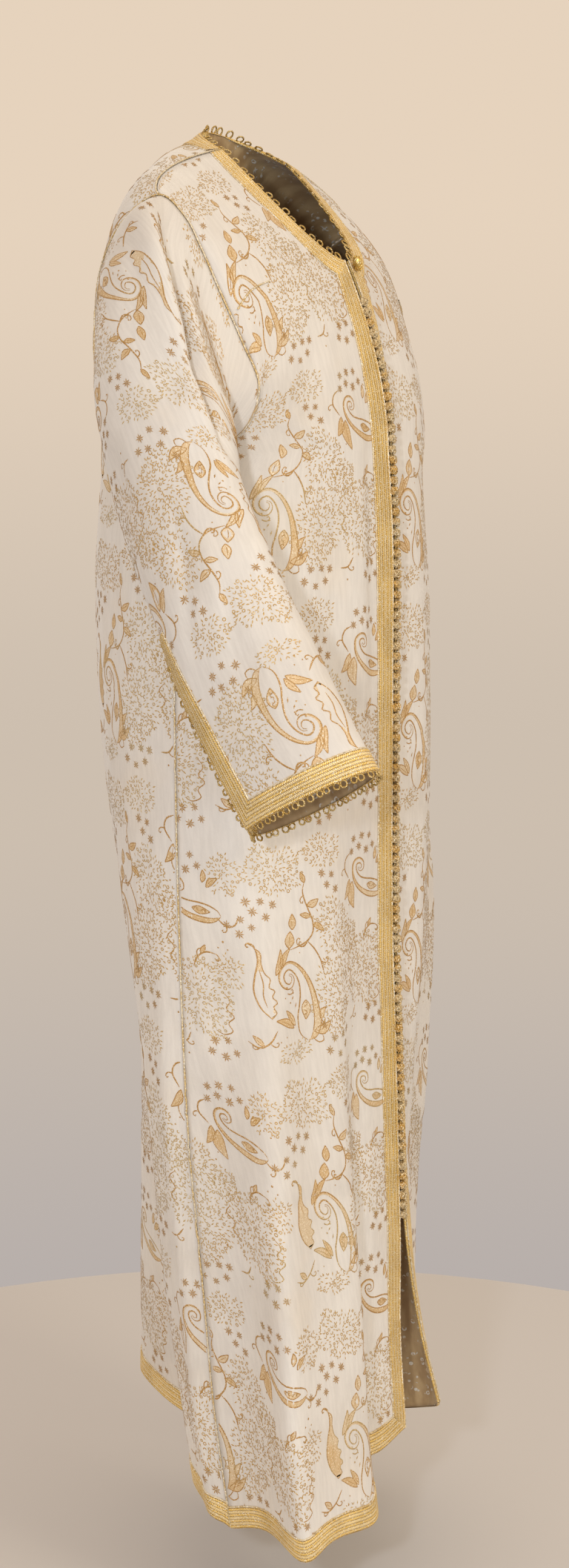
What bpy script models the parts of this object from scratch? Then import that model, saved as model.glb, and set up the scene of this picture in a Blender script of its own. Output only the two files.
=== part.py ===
# Moroccan kaftan of gold-figured ivory brocade, fastened down the front and open at the hem.
# Metres, +Z up, front towards -Y. The origin is inside the neck, level with the neck points,
# where the wearer carries the garment. Right and left are the wearer's.
import math

import bmesh
import bpy
import numpy as np

# Driving dimensions
CLOTH = 0.0016              # wall of the brocade
BRAID_WIDTH = 0.0220        # flat gold braid on every edge
BRAID_THICKNESS = 0.0014
LIFT = 0.0004               # clearance under what lies on a panel
SEAM_GAP = 0.0008           # between two panels at a seam
FRONT_GAP = 0.0053          # from the centre line to each front edge
NECK_FRONT = (FRONT_GAP, -0.096, -0.113)
NECK_SIDE = (0.066, 0.0155, 0.0)
NECK_BACK = (0.0, 0.068, 0.028)
NECK_FRONT_SHARE = 0.50     # share of the front yoke rows that lie below the neckline
NECK_BACK_SHARE = 0.50 + 0.497 * 3 / 8
EDGE_FALL = {-1: 0.003, 1: 0.009}   # how far each front falls back beside its braid
EDGE_FALL_AT = 0.028        # distance from the edge where it has fallen furthest
EDGE_FALL_FADE = 0.5        # row below which it fades out towards the hem
SLIT_START = 0.72           # where the cuff slit begins, along the sleeve
SLIT_HALF_GAP = 4.0         # half its opening at the cuff, in degrees round the sleeve
SLIT_LAP = 0.008            # how far its front edge stands out and its back edge tucks in
SLIT_SPREAD = 40.0          # degrees round the sleeve over which it does
SLEEVE_TWIST = 132.0        # turn of the sleeve from shoulder to cuff, degrees
KNOT_PITCH = 0.0108         # knots of the front fastening
KNOT_RADIUS = 0.0050
FIRST_KNOT_HEIGHT = -0.155
LAST_KNOT_HEIGHT = -1.130
BUTTON_CENTRE = (0.0105, -0.1050, -0.1150)
BUTTON_RADII = (0.0056, 0.0050, 0.0082)
BUTTON_LEAN = 0.002         # sideways from its middle to its top

SKIRT_ROWS = 22
YOKE_ROWS = 7               # below the neckline, and as many beside it
FRONT_COLUMNS = 13          # past the two under the braid
BACK_COLUMNS = 12           # on each side of the centre back
SLEEVE_ROWS = 16

# The body below the armholes on each side, one row a level: front edge, side seam and centre
# back, with x out from the centre line, and how square the front and back sections are.
RIGHT_LEVELS = (
    # name, front (x, y, z), side (x, y, z), back (y, z), front power, back power
    ("armpit", (FRONT_GAP, -0.149, -0.305), (0.205, -0.020, -0.315), (0.150, -0.305), 2.4, 2.3),
    ("chest", (FRONT_GAP, -0.155, -0.400), (0.207, -0.018, -0.405), (0.163, -0.400), 2.4, 2.3),
    ("waist", (FRONT_GAP, -0.156, -0.550), (0.213, -0.020, -0.555), (0.157, -0.545), 2.4, 2.3),
    ("hip", (FRONT_GAP, -0.157, -0.785), (0.222, -0.030, -0.795), (0.126, -0.770), 2.4, 2.3),
    ("thigh", (FRONT_GAP, -0.164, -0.990), (0.228, -0.044, -1.008), (0.099, -0.965), 2.4, 2.2),
    ("knee", (FRONT_GAP, -0.169, -1.150), (0.221, -0.058, -1.175), (0.107, -1.118), 2.4, 2.0),
    ("shin", (0.007, -0.171, -1.264), (0.214, -0.066, -1.300), (0.115, -1.225), 2.4, 1.8),
    ("hem", (0.010, -0.180, -1.365), (0.202, -0.078, -1.428), (0.124, -1.325), 2.4, 1.6),
)
LEFT_LEVELS = (
    ("armpit", (FRONT_GAP, -0.149, -0.305), (0.205, 0.000, -0.315), (0.150, -0.305), 2.0, 2.3),
    ("chest", (FRONT_GAP, -0.155, -0.400), (0.207, -0.006, -0.405), (0.163, -0.400), 2.1, 2.3),
    ("waist", (FRONT_GAP, -0.156, -0.550), (0.213, -0.012, -0.555), (0.157, -0.545), 2.2, 2.3),
    ("hip", (FRONT_GAP, -0.157, -0.785), (0.218, -0.016, -0.795), (0.126, -0.770), 2.2, 2.3),
    ("thigh", (FRONT_GAP, -0.164, -0.990), (0.198, 0.004, -1.008), (0.099, -0.965), 2.0, 2.1),
    ("knee", (0.011, -0.170, -1.150), (0.184, 0.014, -1.175), (0.107, -1.118), 1.6, 2.2),
    ("shin", (0.037, -0.174, -1.264), (0.184, 0.020, -1.300), (0.115, -1.225), 1.4, 2.2),
    ("hem", (0.064, -0.184, -1.360), (0.188, 0.026, -1.428), (0.124, -1.325), 1.3, 2.1),
)

# Folds of the skirt. Along a panel 0 is its front edge or centre back and 1 the side seam.
# The shift is that of the fold's crest at the hem, with x out from the centre line.
RIGHT_FRONT_FOLDS = (
    # name, start drop, place at start, place at hem, width, shift (x, y, z)
    ("side corner", 0.62, 0.56, 0.54, 0.190, (0.074, -0.044, -0.024)),
    ("front ridge", 0.50, 0.30, 0.345, 0.075, (-0.014, -0.030, -0.020)),
    ("front hollow", 0.45, 0.14, 0.22, 0.060, (0.000, 0.010, 0.004)),
)
RIGHT_BACK_FOLDS = (
    ("back ridge", 0.45, 0.25, 0.20, 0.100, (0.000, 0.030, 0.000)),
    ("back hollow", 0.60, 0.48, 0.52, 0.140, (-0.034, -0.034, 0.000)),
    ("side crease", 0.55, 0.93, 0.90, 0.050, (0.008, 0.002, 0.000)),
)
LEFT_FRONT_FOLDS = (
    ("front hollow", 0.60, 0.34, 0.34, 0.110, (-0.030, 0.020, 0.000)),
    ("side ridge", 0.60, 0.66, 0.62, 0.120, (0.046, -0.016, -0.010)),
)
LEFT_BACK_FOLDS = (
    ("back ridge", 0.45, 0.25, 0.24, 0.100, (0.000, 0.018, 0.000)),
    ("back hollow", 0.60, 0.50, 0.52, 0.130, (-0.034, -0.030, 0.000)),
    ("side ridge", 0.55, 0.80, 0.76, 0.090, (0.010, 0.012, 0.000)),
)

# The armhole seams, from underarm through the back (minus) to the shoulder and down the front
# (plus) to underarm again. The left arm hangs further back.
ARMHOLE = (
    # turn in degrees, right (x, y, z), left (x, y, z)
    (-180, (0.205, -0.020, -0.315), (0.205, 0.000, -0.315)),
    (-150, (0.200, 0.056, -0.293), (0.200, 0.062, -0.293)),
    (-120, (0.193, 0.086, -0.240), (0.193, 0.090, -0.240)),
    (-90, (0.190, 0.090, -0.182), (0.190, 0.092, -0.182)),
    (-60, (0.194, 0.080, -0.130), (0.194, 0.080, -0.130)),
    (-30, (0.203, 0.046, -0.084), (0.202, 0.050, -0.084)),
    (0, (0.206, 0.000, -0.060), (0.206, 0.012, -0.062)),
    (25, (0.205, -0.030, -0.082), (0.203, -0.006, -0.085)),
    (50, (0.201, -0.047, -0.114), (0.199, -0.020, -0.115)),
    (75, (0.196, -0.066, -0.157), (0.195, -0.034, -0.157)),
    (100, (0.191, -0.088, -0.205), (0.192, -0.048, -0.205)),
    (125, (0.190, -0.107, -0.250), (0.191, -0.058, -0.250)),
    (150, (0.196, -0.088, -0.295), (0.196, -0.046, -0.295)),
    (180, (0.205, -0.020, -0.315), (0.205, 0.000, -0.315)),
)

# The sleeves, one row a ring: outer and inner lines, which start at the top and bottom of the
# armhole, the middle of the ring front to back, half its depth and the forward lift of it.
RIGHT_RINGS = (
    # station, outer (x, z), inner (x, z), middle y, half depth, lift in degrees
    (0.00, (0.206, -0.060), (0.205, -0.315), 0.0000, 0.0950, 0.0),
    (0.08, (0.236, -0.075), (0.215, -0.318), -0.0040, 0.0790, 2.0),
    (0.16, (0.260, -0.112), (0.220, -0.322), -0.0130, 0.0730, 4.0),
    (0.24, (0.277, -0.160), (0.2235, -0.330), -0.0220, 0.0710, 6.0),
    (0.32, (0.290, -0.213), (0.2265, -0.342), -0.0320, 0.0710, 9.0),
    (0.41, (0.301, -0.272), (0.2290, -0.362), -0.0470, 0.0720, 13.0),
    (0.50, (0.308, -0.330), (0.2310, -0.392), -0.0640, 0.0735, 17.0),
    (0.60, (0.313, -0.390), (0.2330, -0.432), -0.0850, 0.0760, 20.0),
    (0.72, (0.316, -0.458), (0.2340, -0.486), -0.1180, 0.0770, 24.0),
    (0.86, (0.316, -0.545), (0.2330, -0.560), -0.1620, 0.0785, 27.0),
    (1.00, (0.310, -0.642), (0.2300, -0.650), -0.2140, 0.0785, 28.0),
)
LEFT_RINGS = (
    (0.00, (0.206, -0.062), (0.205, -0.315), 0.0120, 0.0900, 0.0),
    (0.08, (0.234, -0.078), (0.215, -0.318), 0.0180, 0.0780, 0.0),
    (0.16, (0.254, -0.114), (0.220, -0.322), 0.0260, 0.0730, 0.0),
    (0.24, (0.267, -0.160), (0.2235, -0.330), 0.0340, 0.0710, 0.0),
    (0.32, (0.276, -0.213), (0.2265, -0.342), 0.0410, 0.0700, 1.0),
    (0.41, (0.284, -0.272), (0.2290, -0.362), 0.0460, 0.0700, 2.0),
    (0.50, (0.290, -0.330), (0.2310, -0.396), 0.0490, 0.0710, 3.0),
    (0.60, (0.295, -0.396), (0.2330, -0.444), 0.0500, 0.0730, 4.0),
    (0.72, (0.299, -0.474), (0.2340, -0.506), 0.0500, 0.0750, 5.0),
    (0.86, (0.301, -0.566), (0.2330, -0.586), 0.0490, 0.0770, 6.0),
    (1.00, (0.300, -0.662), (0.2300, -0.672), 0.0470, 0.0785, 7.0),
)
SLEEVE_FOLDS = (
    # name, first and last station, angle there, width in degrees, depth outwards
    ("cap valley", (0.02, 0.48), (22.0, 88.0), 12.0, -0.024),
    ("cap ridge", (0.02, 0.46), (-4.0, 62.0), 18.0, 0.006),
    ("front pouch", (0.10, 0.50), (108.0, 130.0), 24.0, 0.020),
    ("elbow drape", (0.36, 0.80), (-60.0, -80.0), 22.0, -0.008),
    ("cuff drape", (0.60, 1.00), (10.0, 30.0), 24.0, -0.004),
)


# Curves and sections

def smooth(stations, values, at):
    """Value of a smooth curve through the stations, without overshoot."""
    stations = np.asarray(stations, float)
    values = np.asarray(values, float)
    slope = np.diff(values) / np.diff(stations)
    tangent = np.concatenate([slope[:1], (slope[1:] + slope[:-1]) / 2, slope[-1:]])
    turning = np.zeros(len(tangent), bool)
    turning[1:-1] = slope[1:] * slope[:-1] <= 0
    tangent[turning] = 0
    k = int(np.clip(np.searchsorted(stations, at) - 1, 0, len(slope) - 1))
    step = stations[k + 1] - stations[k]
    t = (at - stations[k]) / step
    return (
        values[k] * (1 + 2 * t) * (1 - t) ** 2
        + values[k + 1] * t * t * (3 - 2 * t)
        + step * t * (1 - t) * (tangent[k] * (1 - t) - tangent[k + 1] * t)
    )


def ease(t):
    t = min(max(t, 0.0), 1.0)
    return t * t * (3 - 2 * t)


def bump(distance, width):
    return math.exp(-((distance / width) ** 2))


def spaced(first, last, count):
    return [first + (last - first) * i / (count - 1) for i in range(count)]


def quarter(inner, outer, share, power):
    """Point on a quarter section that leaves inner sideways and meets outer lengthways."""
    turn = share * math.pi / 2
    across = math.sin(turn) ** (2 / power)
    ahead = max(math.cos(turn), 0.0) ** (2 / power)
    return np.array([
        inner[0] + (outer[0] - inner[0]) * across,
        outer[1] + (inner[1] - outer[1]) * ahead,
        inner[2] + (outer[2] - inner[2]) * share,
    ])


def levels_of(side):
    return RIGHT_LEVELS if side < 0 else LEFT_LEVELS


def level(side, row, pick):
    """A column of the level table at a row of the skirt, 0 at the hem and 1 at the armpit."""
    table = levels_of(side)
    drops = [-entry[1][2] for entry in table]
    at = drops[-1] + (drops[0] - drops[-1]) * row
    return smooth(drops, [pick(entry) for entry in table], at)


def front_edge(side, row):
    return np.array([level(side, row, lambda e: e[1][axis]) for axis in range(3)])


def side_seam(side, row):
    return np.array([level(side, row, lambda e: e[2][axis]) for axis in range(3)])


def centre_back(row):
    return np.array([0.0, level(1, row, lambda e: e[3][0]), level(1, row, lambda e: e[3][1])])


def armhole(side, turn):
    turns = [entry[0] for entry in ARMHOLE]
    pick = 1 if side < 0 else 2
    return np.array([smooth(turns, [entry[pick][axis] for entry in ARMHOLE], turn) for axis in range(3)])


def neckline(share, start, lean_power):
    """Quarter turn of the neckline, from the centre to the shoulder."""
    angle = share * math.pi / 2
    lean = math.cos(angle) ** lean_power
    return np.array([
        start[0] + (NECK_SIDE[0] - start[0]) * math.sin(angle),
        NECK_SIDE[1] + (start[1] - NECK_SIDE[1]) * math.cos(angle),
        NECK_SIDE[2] + (start[2] - NECK_SIDE[2]) * lean,
    ])


def yoke_inner(side, row, front):
    """Inner end of a yoke row: up the centre line, then along the neckline."""
    share = NECK_FRONT_SHARE if front else NECK_BACK_SHARE
    start = NECK_FRONT if front else NECK_BACK
    if row >= share:
        return neckline((row - share) / (1 - share), start, 1.08 if front else 1.0)
    foot = front_edge(side, 1.0) if front else centre_back(1.0)
    t = row / share
    return foot + (np.array(start) - foot) * np.array([t, t ** 1.7, t])


def folds_at(folds, share, drop, hem):
    """Sum of the skirt's folds at a place along a panel and a drop below the neck."""
    total = np.zeros(3)
    for _, start, place_start, place_hem, width, shift in folds:
        grown = ease((drop - start) / (hem - start))
        place = place_start + (place_hem - place_start) * grown
        total += np.array(shift) * grown * bump(share - place, width)
    return total


def body_point(side, front, share, row):
    """Point of the body: side is -1 for the right, share runs from the front edge or the centre
    back (0) to the side seam or armhole (1), and row from the hem (0) to the shoulder (2)."""
    if row <= 1:
        inner = front_edge(side, row) if front else centre_back(row)
        power = level(side, row, lambda e: e[4] if front else e[5])
        point = quarter(inner, side_seam(side, row), share, power)
        if front:
            folds = RIGHT_FRONT_FOLDS if side < 0 else LEFT_FRONT_FOLDS
        else:
            folds = RIGHT_BACK_FOLDS if side < 0 else LEFT_BACK_FOLDS
        hem = -(inner[2] + (side_seam(side, row)[2] - inner[2]) * share)
        point = point + folds_at(folds, share, hem, 1.36)
    else:
        turn = 180 * (2 - row)
        power = 2.3
        inner = yoke_inner(side, row - 1, front)
        point = quarter(inner, armhole(side, turn if front else -turn), share, power)
    if front:
        away = (point[0] - inner[0]) / EDGE_FALL_AT
        held = ease(row / EDGE_FALL_FADE) * (1 - ease((row - 1) / NECK_FRONT_SHARE))
        point[1] += EDGE_FALL[side] * held * away * math.exp((1 - away * away) / 2)
    point[0] *= side
    return point


def sleeve_head(side, turn):
    """How far the armhole seam departs from the first ring of the sleeve."""
    ring = (RIGHT_RINGS if side < 0 else LEFT_RINGS)[0]
    angle = math.radians(turn)
    rise = (ring[1][1] - ring[2][1]) / 2 * math.cos(angle) + (ring[1][1] + ring[2][1]) / 2
    width = (ring[1][0] - ring[2][0]) / 2 * math.cos(angle) + (ring[1][0] + ring[2][0]) / 2
    return armhole(side, turn) - np.array([width, ring[3] - ring[4] * math.sin(angle), rise])


def sleeve_point(side, turn, station):
    """Point of the sleeve; turn runs round it in degrees from the shoulder fold, through the
    front, to the underarm seam at 180."""
    rings = RIGHT_RINGS if side < 0 else LEFT_RINGS
    stations = [ring[0] for ring in rings]

    def column(pick):
        return smooth(stations, [pick(ring) for ring in rings], station)

    outer = np.array([column(lambda r: r[1][0]), 0.0, column(lambda r: r[1][1])])
    inner = np.array([column(lambda r: r[2][0]), 0.0, column(lambda r: r[2][1])])
    middle = (outer + inner) / 2 + np.array([0.0, column(lambda r: r[3]), 0.0])
    depth = column(lambda r: r[4])
    lift = math.radians(column(lambda r: r[5]))
    forward = np.array([0.0, -math.cos(lift), math.sin(lift)]) * depth
    angle = turn + SLEEVE_TWIST * ease(station)
    out = 1.0
    for _, (first, last), (angle_first, angle_last), width, height in SLEEVE_FOLDS:
        along = (station - first) / (last - first)
        if 0 < along < 1:
            centre = angle_first + (angle_last - angle_first) * along
            apart = (angle - centre + 180) % 360 - 180
            out += height / depth * math.sin(along * math.pi) * bump(apart, width)
    opened = ease((station - SLIT_START) / (1 - SLIT_START))
    lapped = bump(turn + 180, SLIT_SPREAD) - bump(turn - 180, SLIT_SPREAD)
    out += SLIT_LAP / depth * opened * lapped
    turned = math.radians(angle)
    ring = middle + out * ((outer - inner) / 2 * math.cos(turned) + forward * math.sin(turned))
    point = ring + sleeve_head(side, turn) * (1 - ease(station / 0.30))
    point[0] *= side
    return point


# Building meshes

def add_object(name, verts, faces, material, thickness, outwards):
    """An open grid given its wall by a Solidify modifier."""
    mesh = bpy.data.meshes.new(name)
    mesh.from_pydata([tuple(v) for v in verts], [], faces)
    obj = bpy.data.objects.new(name, mesh)
    bpy.data.collections["kaftan"].objects.link(obj)
    obj.data.materials.append(material)
    wall = obj.modifiers.new("wall", "SOLIDIFY")
    wall.thickness = thickness
    wall.offset = 1.0 if outwards else -1.0
    wall.use_even_offset = True
    return obj


def grid_faces(rows, columns, flip):
    faces = []
    for i in range(rows - 1):
        for j in range(columns - 1):
            a = i * columns + j
            face = (a, a + 1, a + columns + 1, a + columns)
            faces.append(face[::-1] if flip else face)
    return faces


def grid_normals(grid, flip):
    """Outward unit normals at the points of a grid of rows and columns."""
    along = np.gradient(grid, axis=1)
    up = np.gradient(grid, axis=0)
    normal = np.cross(along, up)
    normal /= np.linalg.norm(normal, axis=2)[:, :, None]
    return -normal if flip else normal


def weld(obj):
    work = bmesh.new()
    work.from_mesh(obj.data)
    bmesh.ops.remove_doubles(work, verts=work.verts, dist=0.00005)
    work.to_mesh(obj.data)
    work.free()


def body_rows():
    """Row values from the hem to the shoulder, two of them under the hem braid."""
    under_braid = BRAID_WIDTH / 1.03
    skirt = spaced(under_braid, 1.0, SKIRT_ROWS - 1)[:-1]
    low = spaced(1.0, 1 + NECK_FRONT_SHARE, YOKE_ROWS + 1)[:-1]
    high = spaced(1 + NECK_FRONT_SHARE, 1.997, YOKE_ROWS + 2)
    return [0.0, under_braid / 2] + skirt + low + high


def row_lengths(side, front, row):
    """Trial places along a row and how far each is from its inner end."""
    trial = [0.5 - 0.5 * math.cos(math.pi * i / 120) for i in range(121)]
    points = np.array([body_point(side, front, share, row) for share in trial])
    steps = np.linalg.norm(np.diff(points, axis=0), axis=1)
    return trial, np.concatenate([[0.0], np.cumsum(steps)])


def braid_reach(side, row):
    """Width of the braid measured along a row, where the neckline slants across the rows."""
    if row <= 1 + NECK_FRONT_SHARE:
        return BRAID_WIDTH
    edge = body_point(side, True, 0.0, row)
    along = body_point(side, True, 0.0, row + 0.02 if row < 1.97 else row - 0.02) - edge
    across = body_point(side, True, 0.08, row) - edge
    sine = np.linalg.norm(np.cross(along, across)) / np.linalg.norm(along) / np.linalg.norm(across)
    return BRAID_WIDTH / max(sine, 0.5)


def front_shares(side, row):
    """Column places of a front panel, two of them under the braid."""
    trial, length = row_lengths(side, True, row)
    reach = braid_reach(side, row)
    wanted = [0.0, reach / 2] + spaced(reach, length[-1] - SEAM_GAP / 2, FRONT_COLUMNS + 1)
    return list(np.interp(wanted, length, trial))


def back_shares(side, row):
    trial, length = row_lengths(side, False, row)
    return list(np.interp(spaced(0.0, length[-1] - SEAM_GAP / 2, BACK_COLUMNS + 1), length, trial))


def front_grid(side):
    rows = body_rows()
    return np.array([[body_point(side, True, share, row) for share in front_shares(side, row)]
                     for row in rows])


def back_grid(side):
    """Half of the back, from the centre and the neckline to the side seam and armhole."""
    return np.array([[body_point(side, False, share, row) for share in back_shares(side, row)]
                     for row in body_rows()])


def sleeve_stations():
    length = 0.62
    cuff = BRAID_WIDTH / length
    return spaced(0.003, 1 - cuff, SLEEVE_ROWS - 1) + [1 - cuff / 2, 1.0]


def sleeve_turns(station):
    """Columns of the sleeve: in step with the body's rows at the armhole, and with the braid's
    edges beside the slit at the cuff."""
    head = [180 * (2 - row) for row in body_rows() if row >= 1]
    head = [-turn for turn in head] + [turn for turn in head[::-1]]
    open_share = max(0.0, (station - SLIT_START) / (1 - SLIT_START))
    edge = 180 - SLIT_HALF_GAP * open_share
    under = 360 * BRAID_WIDTH / 0.40
    cuff = [-edge, -edge + under / 2] + spaced(-edge + under, edge - under, len(head) - 4)
    cuff += [edge - under / 2, edge]
    share = ease(station / 0.5)
    return [a + (b - a) * share for a, b in zip(head, cuff)]


def sleeve_grid(side):
    return np.array([[sleeve_point(side, turn, station) for turn in sleeve_turns(station)]
                     for station in sleeve_stations()])


def panel(name, grid, flip, material):
    rows, columns = grid.shape[:2]
    faces = grid_faces(rows, columns, flip)
    return add_object(name, grid.reshape(-1, 3), faces, material, CLOTH, False)


def back_panel(name, material):
    """Both halves of the back, which share the centre line up to the neck."""
    right, left = back_grid(-1), back_grid(1)
    shared = np.linalg.norm(right[:, 0] - left[:, 0], axis=1) < 0.003
    right[shared, 0] = left[shared, 0]
    rows, columns = left.shape[:2]
    faces = grid_faces(rows, columns, False)
    faces += [tuple(v + rows * columns for v in face) for face in grid_faces(rows, columns, True)]
    verts = np.concatenate([right.reshape(-1, 3), left.reshape(-1, 3)])
    weld(add_object(name, verts, faces, material, CLOTH, False))


def cells_on(name, grid, flip, chosen, material):
    """Braid made of chosen cells of a panel's own grid, moved out from the cloth."""
    rows, columns = grid.shape[:2]
    lifted = (grid + grid_normals(grid, flip) * LIFT).reshape(-1, 3)
    faces = grid_faces(rows, columns, flip)
    picked = [faces[i * (columns - 1) + j] for i, j in chosen]
    used = sorted({v for face in picked for v in face})
    number = {v: k for k, v in enumerate(used)}
    picked = [tuple(number[v] for v in face) for face in picked]
    obj = add_object(name, lifted[used], picked, material, BRAID_THICKNESS, True)
    weld(obj)
    return obj


def distance_to(line, point):
    """Shortest distance from a point to a run of points joined by straight pieces."""
    starts, runs = line[:-1], np.diff(line, axis=0)
    along = np.einsum("ij,ij->i", point - starts, runs) / np.einsum("ij,ij->i", runs, runs)
    nearest = starts + np.clip(along, 0, 1)[:, None] * runs
    return np.linalg.norm(nearest - point, axis=1).min()


def cut_at(corners, distances, reach):
    """The part of a face whose distances are within reach."""
    kept = []
    for k, (point, gone) in enumerate(zip(corners, distances)):
        before = distances[k - 1]
        if (gone - reach) * (before - reach) < 0:
            kept.append(corners[k - 1] + (point - corners[k - 1]) * (reach - before) / (gone - before))
        if gone <= reach:
            kept.append(point)
    return kept


def neck_braid(name, material):
    """Braid across the back of the neck: the back's own faces, cut at the braid's width from
    the neckline and moved out."""
    halves = (back_grid(-1), False), (back_grid(1), True)
    first = sum(1 for row in body_rows() if row < 1 + NECK_BACK_SHARE - 0.001)
    line = np.concatenate([halves[0][0][:first - 1:-1, 0], halves[1][0][first + 1:, 0]])
    verts, faces = [], []
    for grid, flip in halves:
        rows, columns = grid.shape[:2]
        near = np.array([[distance_to(line, point) for point in points] for points in grid])
        near[abs(near - BRAID_WIDTH) < 0.0025] = BRAID_WIDTH
        points, near = grid.reshape(-1, 3), near.reshape(-1)
        for face in grid_faces(rows, columns, flip):
            if min(face) < (first - 2) * columns or min(near[list(face)]) > BRAID_WIDTH - 0.001:
                continue
            kept = cut_at([points[v] for v in face], [near[v] for v in face], BRAID_WIDTH)
            faces.append(tuple(range(len(verts), len(verts) + len(kept))))
            verts += kept
    obj = add_object(name, verts, faces, material, BRAID_THICKNESS, True)
    weld(obj)
    normals = [normal.vector.copy() for normal in obj.data.vertex_normals]
    for vertex, normal in zip(obj.data.vertices, normals):
        vertex.co += normal * LIFT * 1.5
    return obj


def knot_row(name, material):
    """The front fastening: knots set close together on one cord, between the front edges."""
    count = int((FIRST_KNOT_HEIGHT - LAST_KNOT_HEIGHT) / KNOT_PITCH)
    sides = 6
    verts, faces = [], []
    rings = []
    for i in range(count):
        for part, radius in ((0.0, 0.60), (0.5, 1.0)):
            rings.append((FIRST_KNOT_HEIGHT - (i + part) * KNOT_PITCH, radius * KNOT_RADIUS))
    rings.append((FIRST_KNOT_HEIGHT - count * KNOT_PITCH, 0.60 * KNOT_RADIUS))
    for height, radius in rings:
        middle = centre_front(height)
        for k in range(sides):
            angle = 2 * math.pi * k / sides
            verts.append((middle[0] + radius * math.cos(angle), middle[1] + radius * math.sin(angle), height))
    for i in range(len(rings) - 1):
        for k in range(sides):
            a, b = i * sides + k, i * sides + (k + 1) % sides
            faces.append((a, a + sides, b + sides, b))
    faces.append(tuple(range(sides)))
    faces.append(tuple(len(verts) - 1 - k for k in range(sides)))
    mesh = bpy.data.meshes.new(name)
    mesh.from_pydata(verts, [], faces)
    obj = bpy.data.objects.new(name, mesh)
    bpy.data.collections["kaftan"].objects.link(obj)
    obj.data.materials.append(material)
    return obj


def centre_front(height):
    """Middle of the front opening at a height, level with the cloth."""
    if height > front_edge(1, 1.0)[2]:
        foot, top = front_edge(1, 1.0), np.array(NECK_FRONT)
        t = (height - foot[2]) / (top[2] - foot[2])
        return np.array([0.0, foot[1] + (top[1] - foot[1]) * t ** 1.7, height])
    drops = [-entry[1][2] for entry in RIGHT_LEVELS]
    return np.array([0.0, smooth(drops, [e[1][1] for e in RIGHT_LEVELS], -height), height])


def neck_button(name, material):
    """The larger wound knot that closes the neck."""
    bpy.ops.mesh.primitive_uv_sphere_add(segments=14, ring_count=10, radius=1.0)
    obj = bpy.context.object
    obj.name = name
    obj.data.name = name
    for vertex in obj.data.vertices:
        x, y, z = vertex.co
        vertex.co = [middle + radius * c for middle, radius, c in zip(BUTTON_CENTRE, BUTTON_RADII, (x, y, z))]
        vertex.co.x -= BUTTON_LEAN * z
    for owner in list(obj.users_collection):
        owner.objects.unlink(obj)
    bpy.data.collections["kaftan"].objects.link(obj)
    obj.data.materials.append(material)
    return obj


def new_material(name, colour, roughness, metallic):
    material = bpy.data.materials.new(name)
    material.use_nodes = True
    shader = material.node_tree.nodes["Principled BSDF"]
    shader.inputs["Base Color"].default_value = (*colour, 1.0)
    shader.inputs["Roughness"].default_value = roughness
    shader.inputs["Metallic"].default_value = metallic
    return material


def main():
    for obj in list(bpy.data.objects):
        bpy.data.objects.remove(obj)
    collection = bpy.data.collections.new("kaftan")
    bpy.context.scene.collection.children.link(collection)
    brocade = new_material("ivory_brocade", (0.80, 0.74, 0.65), 0.55, 0.0)
    braid = new_material("gold_braid", (0.60, 0.43, 0.16), 0.40, 0.6)
    thread = new_material("gold_thread", (0.55, 0.45, 0.27), 0.45, 0.5)
    for side, word in ((-1, "right"), (1, "left")):
        grid = front_grid(side)
        rows, columns = grid.shape[:2]
        panel("front_" + word, grid, side < 0, brocade)
        edge = [(i, j) for i in range(2, rows - 1) for j in (0, 1)]
        hem = [(i, j) for i in (0, 1) for j in range(columns - 1)]
        cells_on("edge_braid_" + word, grid, side < 0, hem + edge, braid)
    back_panel("back", brocade)
    low = np.concatenate([back_grid(-1)[:4, :0:-1], back_grid(1)[:4]], axis=1)
    hem = [(i, j) for i in (0, 1) for j in range(low.shape[1] - 1)]
    cells_on("hem_braid_back", low, True, hem, braid)
    for side, word in ((-1, "right"), (1, "left")):
        grid = sleeve_grid(side)
        rows, columns = grid.shape[:2]
        sleeve = panel("sleeve_" + word, grid, side < 0, brocade)
        weld(sleeve)
        first = next(i for i, s in enumerate(sleeve_stations()) if s >= SLIT_START)
        slit = [(i, j) for i in range(first, rows - 3) for j in (0, 1, columns - 3, columns - 2)]
        cuff = [(i, j) for i in (rows - 3, rows - 2) for j in range(columns - 1)]
        cells_on("cuff_braid_" + word, grid, side < 0, slit + cuff, braid)
    neck_braid("neck_braid_back", braid)
    knot_row("front_knots", thread)
    neck_button("neck_button", thread)


main()
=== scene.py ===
# Long kaftan of ivory brocade with gold-thread figures, gold braid and a knotted front, worn and hollow.
# Metres, +Z up, front towards -Y; right and left are the wearer's.
import math

import bpy
import numpy as np
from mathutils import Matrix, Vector
from mathutils.bvhtree import BVHTree


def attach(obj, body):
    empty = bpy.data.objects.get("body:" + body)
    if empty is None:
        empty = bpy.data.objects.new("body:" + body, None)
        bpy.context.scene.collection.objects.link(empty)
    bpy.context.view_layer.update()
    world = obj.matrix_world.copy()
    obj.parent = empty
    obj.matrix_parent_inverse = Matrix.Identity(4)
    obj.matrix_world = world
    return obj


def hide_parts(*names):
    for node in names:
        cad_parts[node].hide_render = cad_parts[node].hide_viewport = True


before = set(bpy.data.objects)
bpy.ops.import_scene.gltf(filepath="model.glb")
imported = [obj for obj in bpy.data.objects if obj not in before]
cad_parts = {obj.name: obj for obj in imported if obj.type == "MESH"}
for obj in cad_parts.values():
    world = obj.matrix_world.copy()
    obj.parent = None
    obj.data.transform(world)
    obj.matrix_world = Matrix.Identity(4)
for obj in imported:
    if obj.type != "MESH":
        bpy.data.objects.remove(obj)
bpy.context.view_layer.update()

print("frame loaded")


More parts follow.
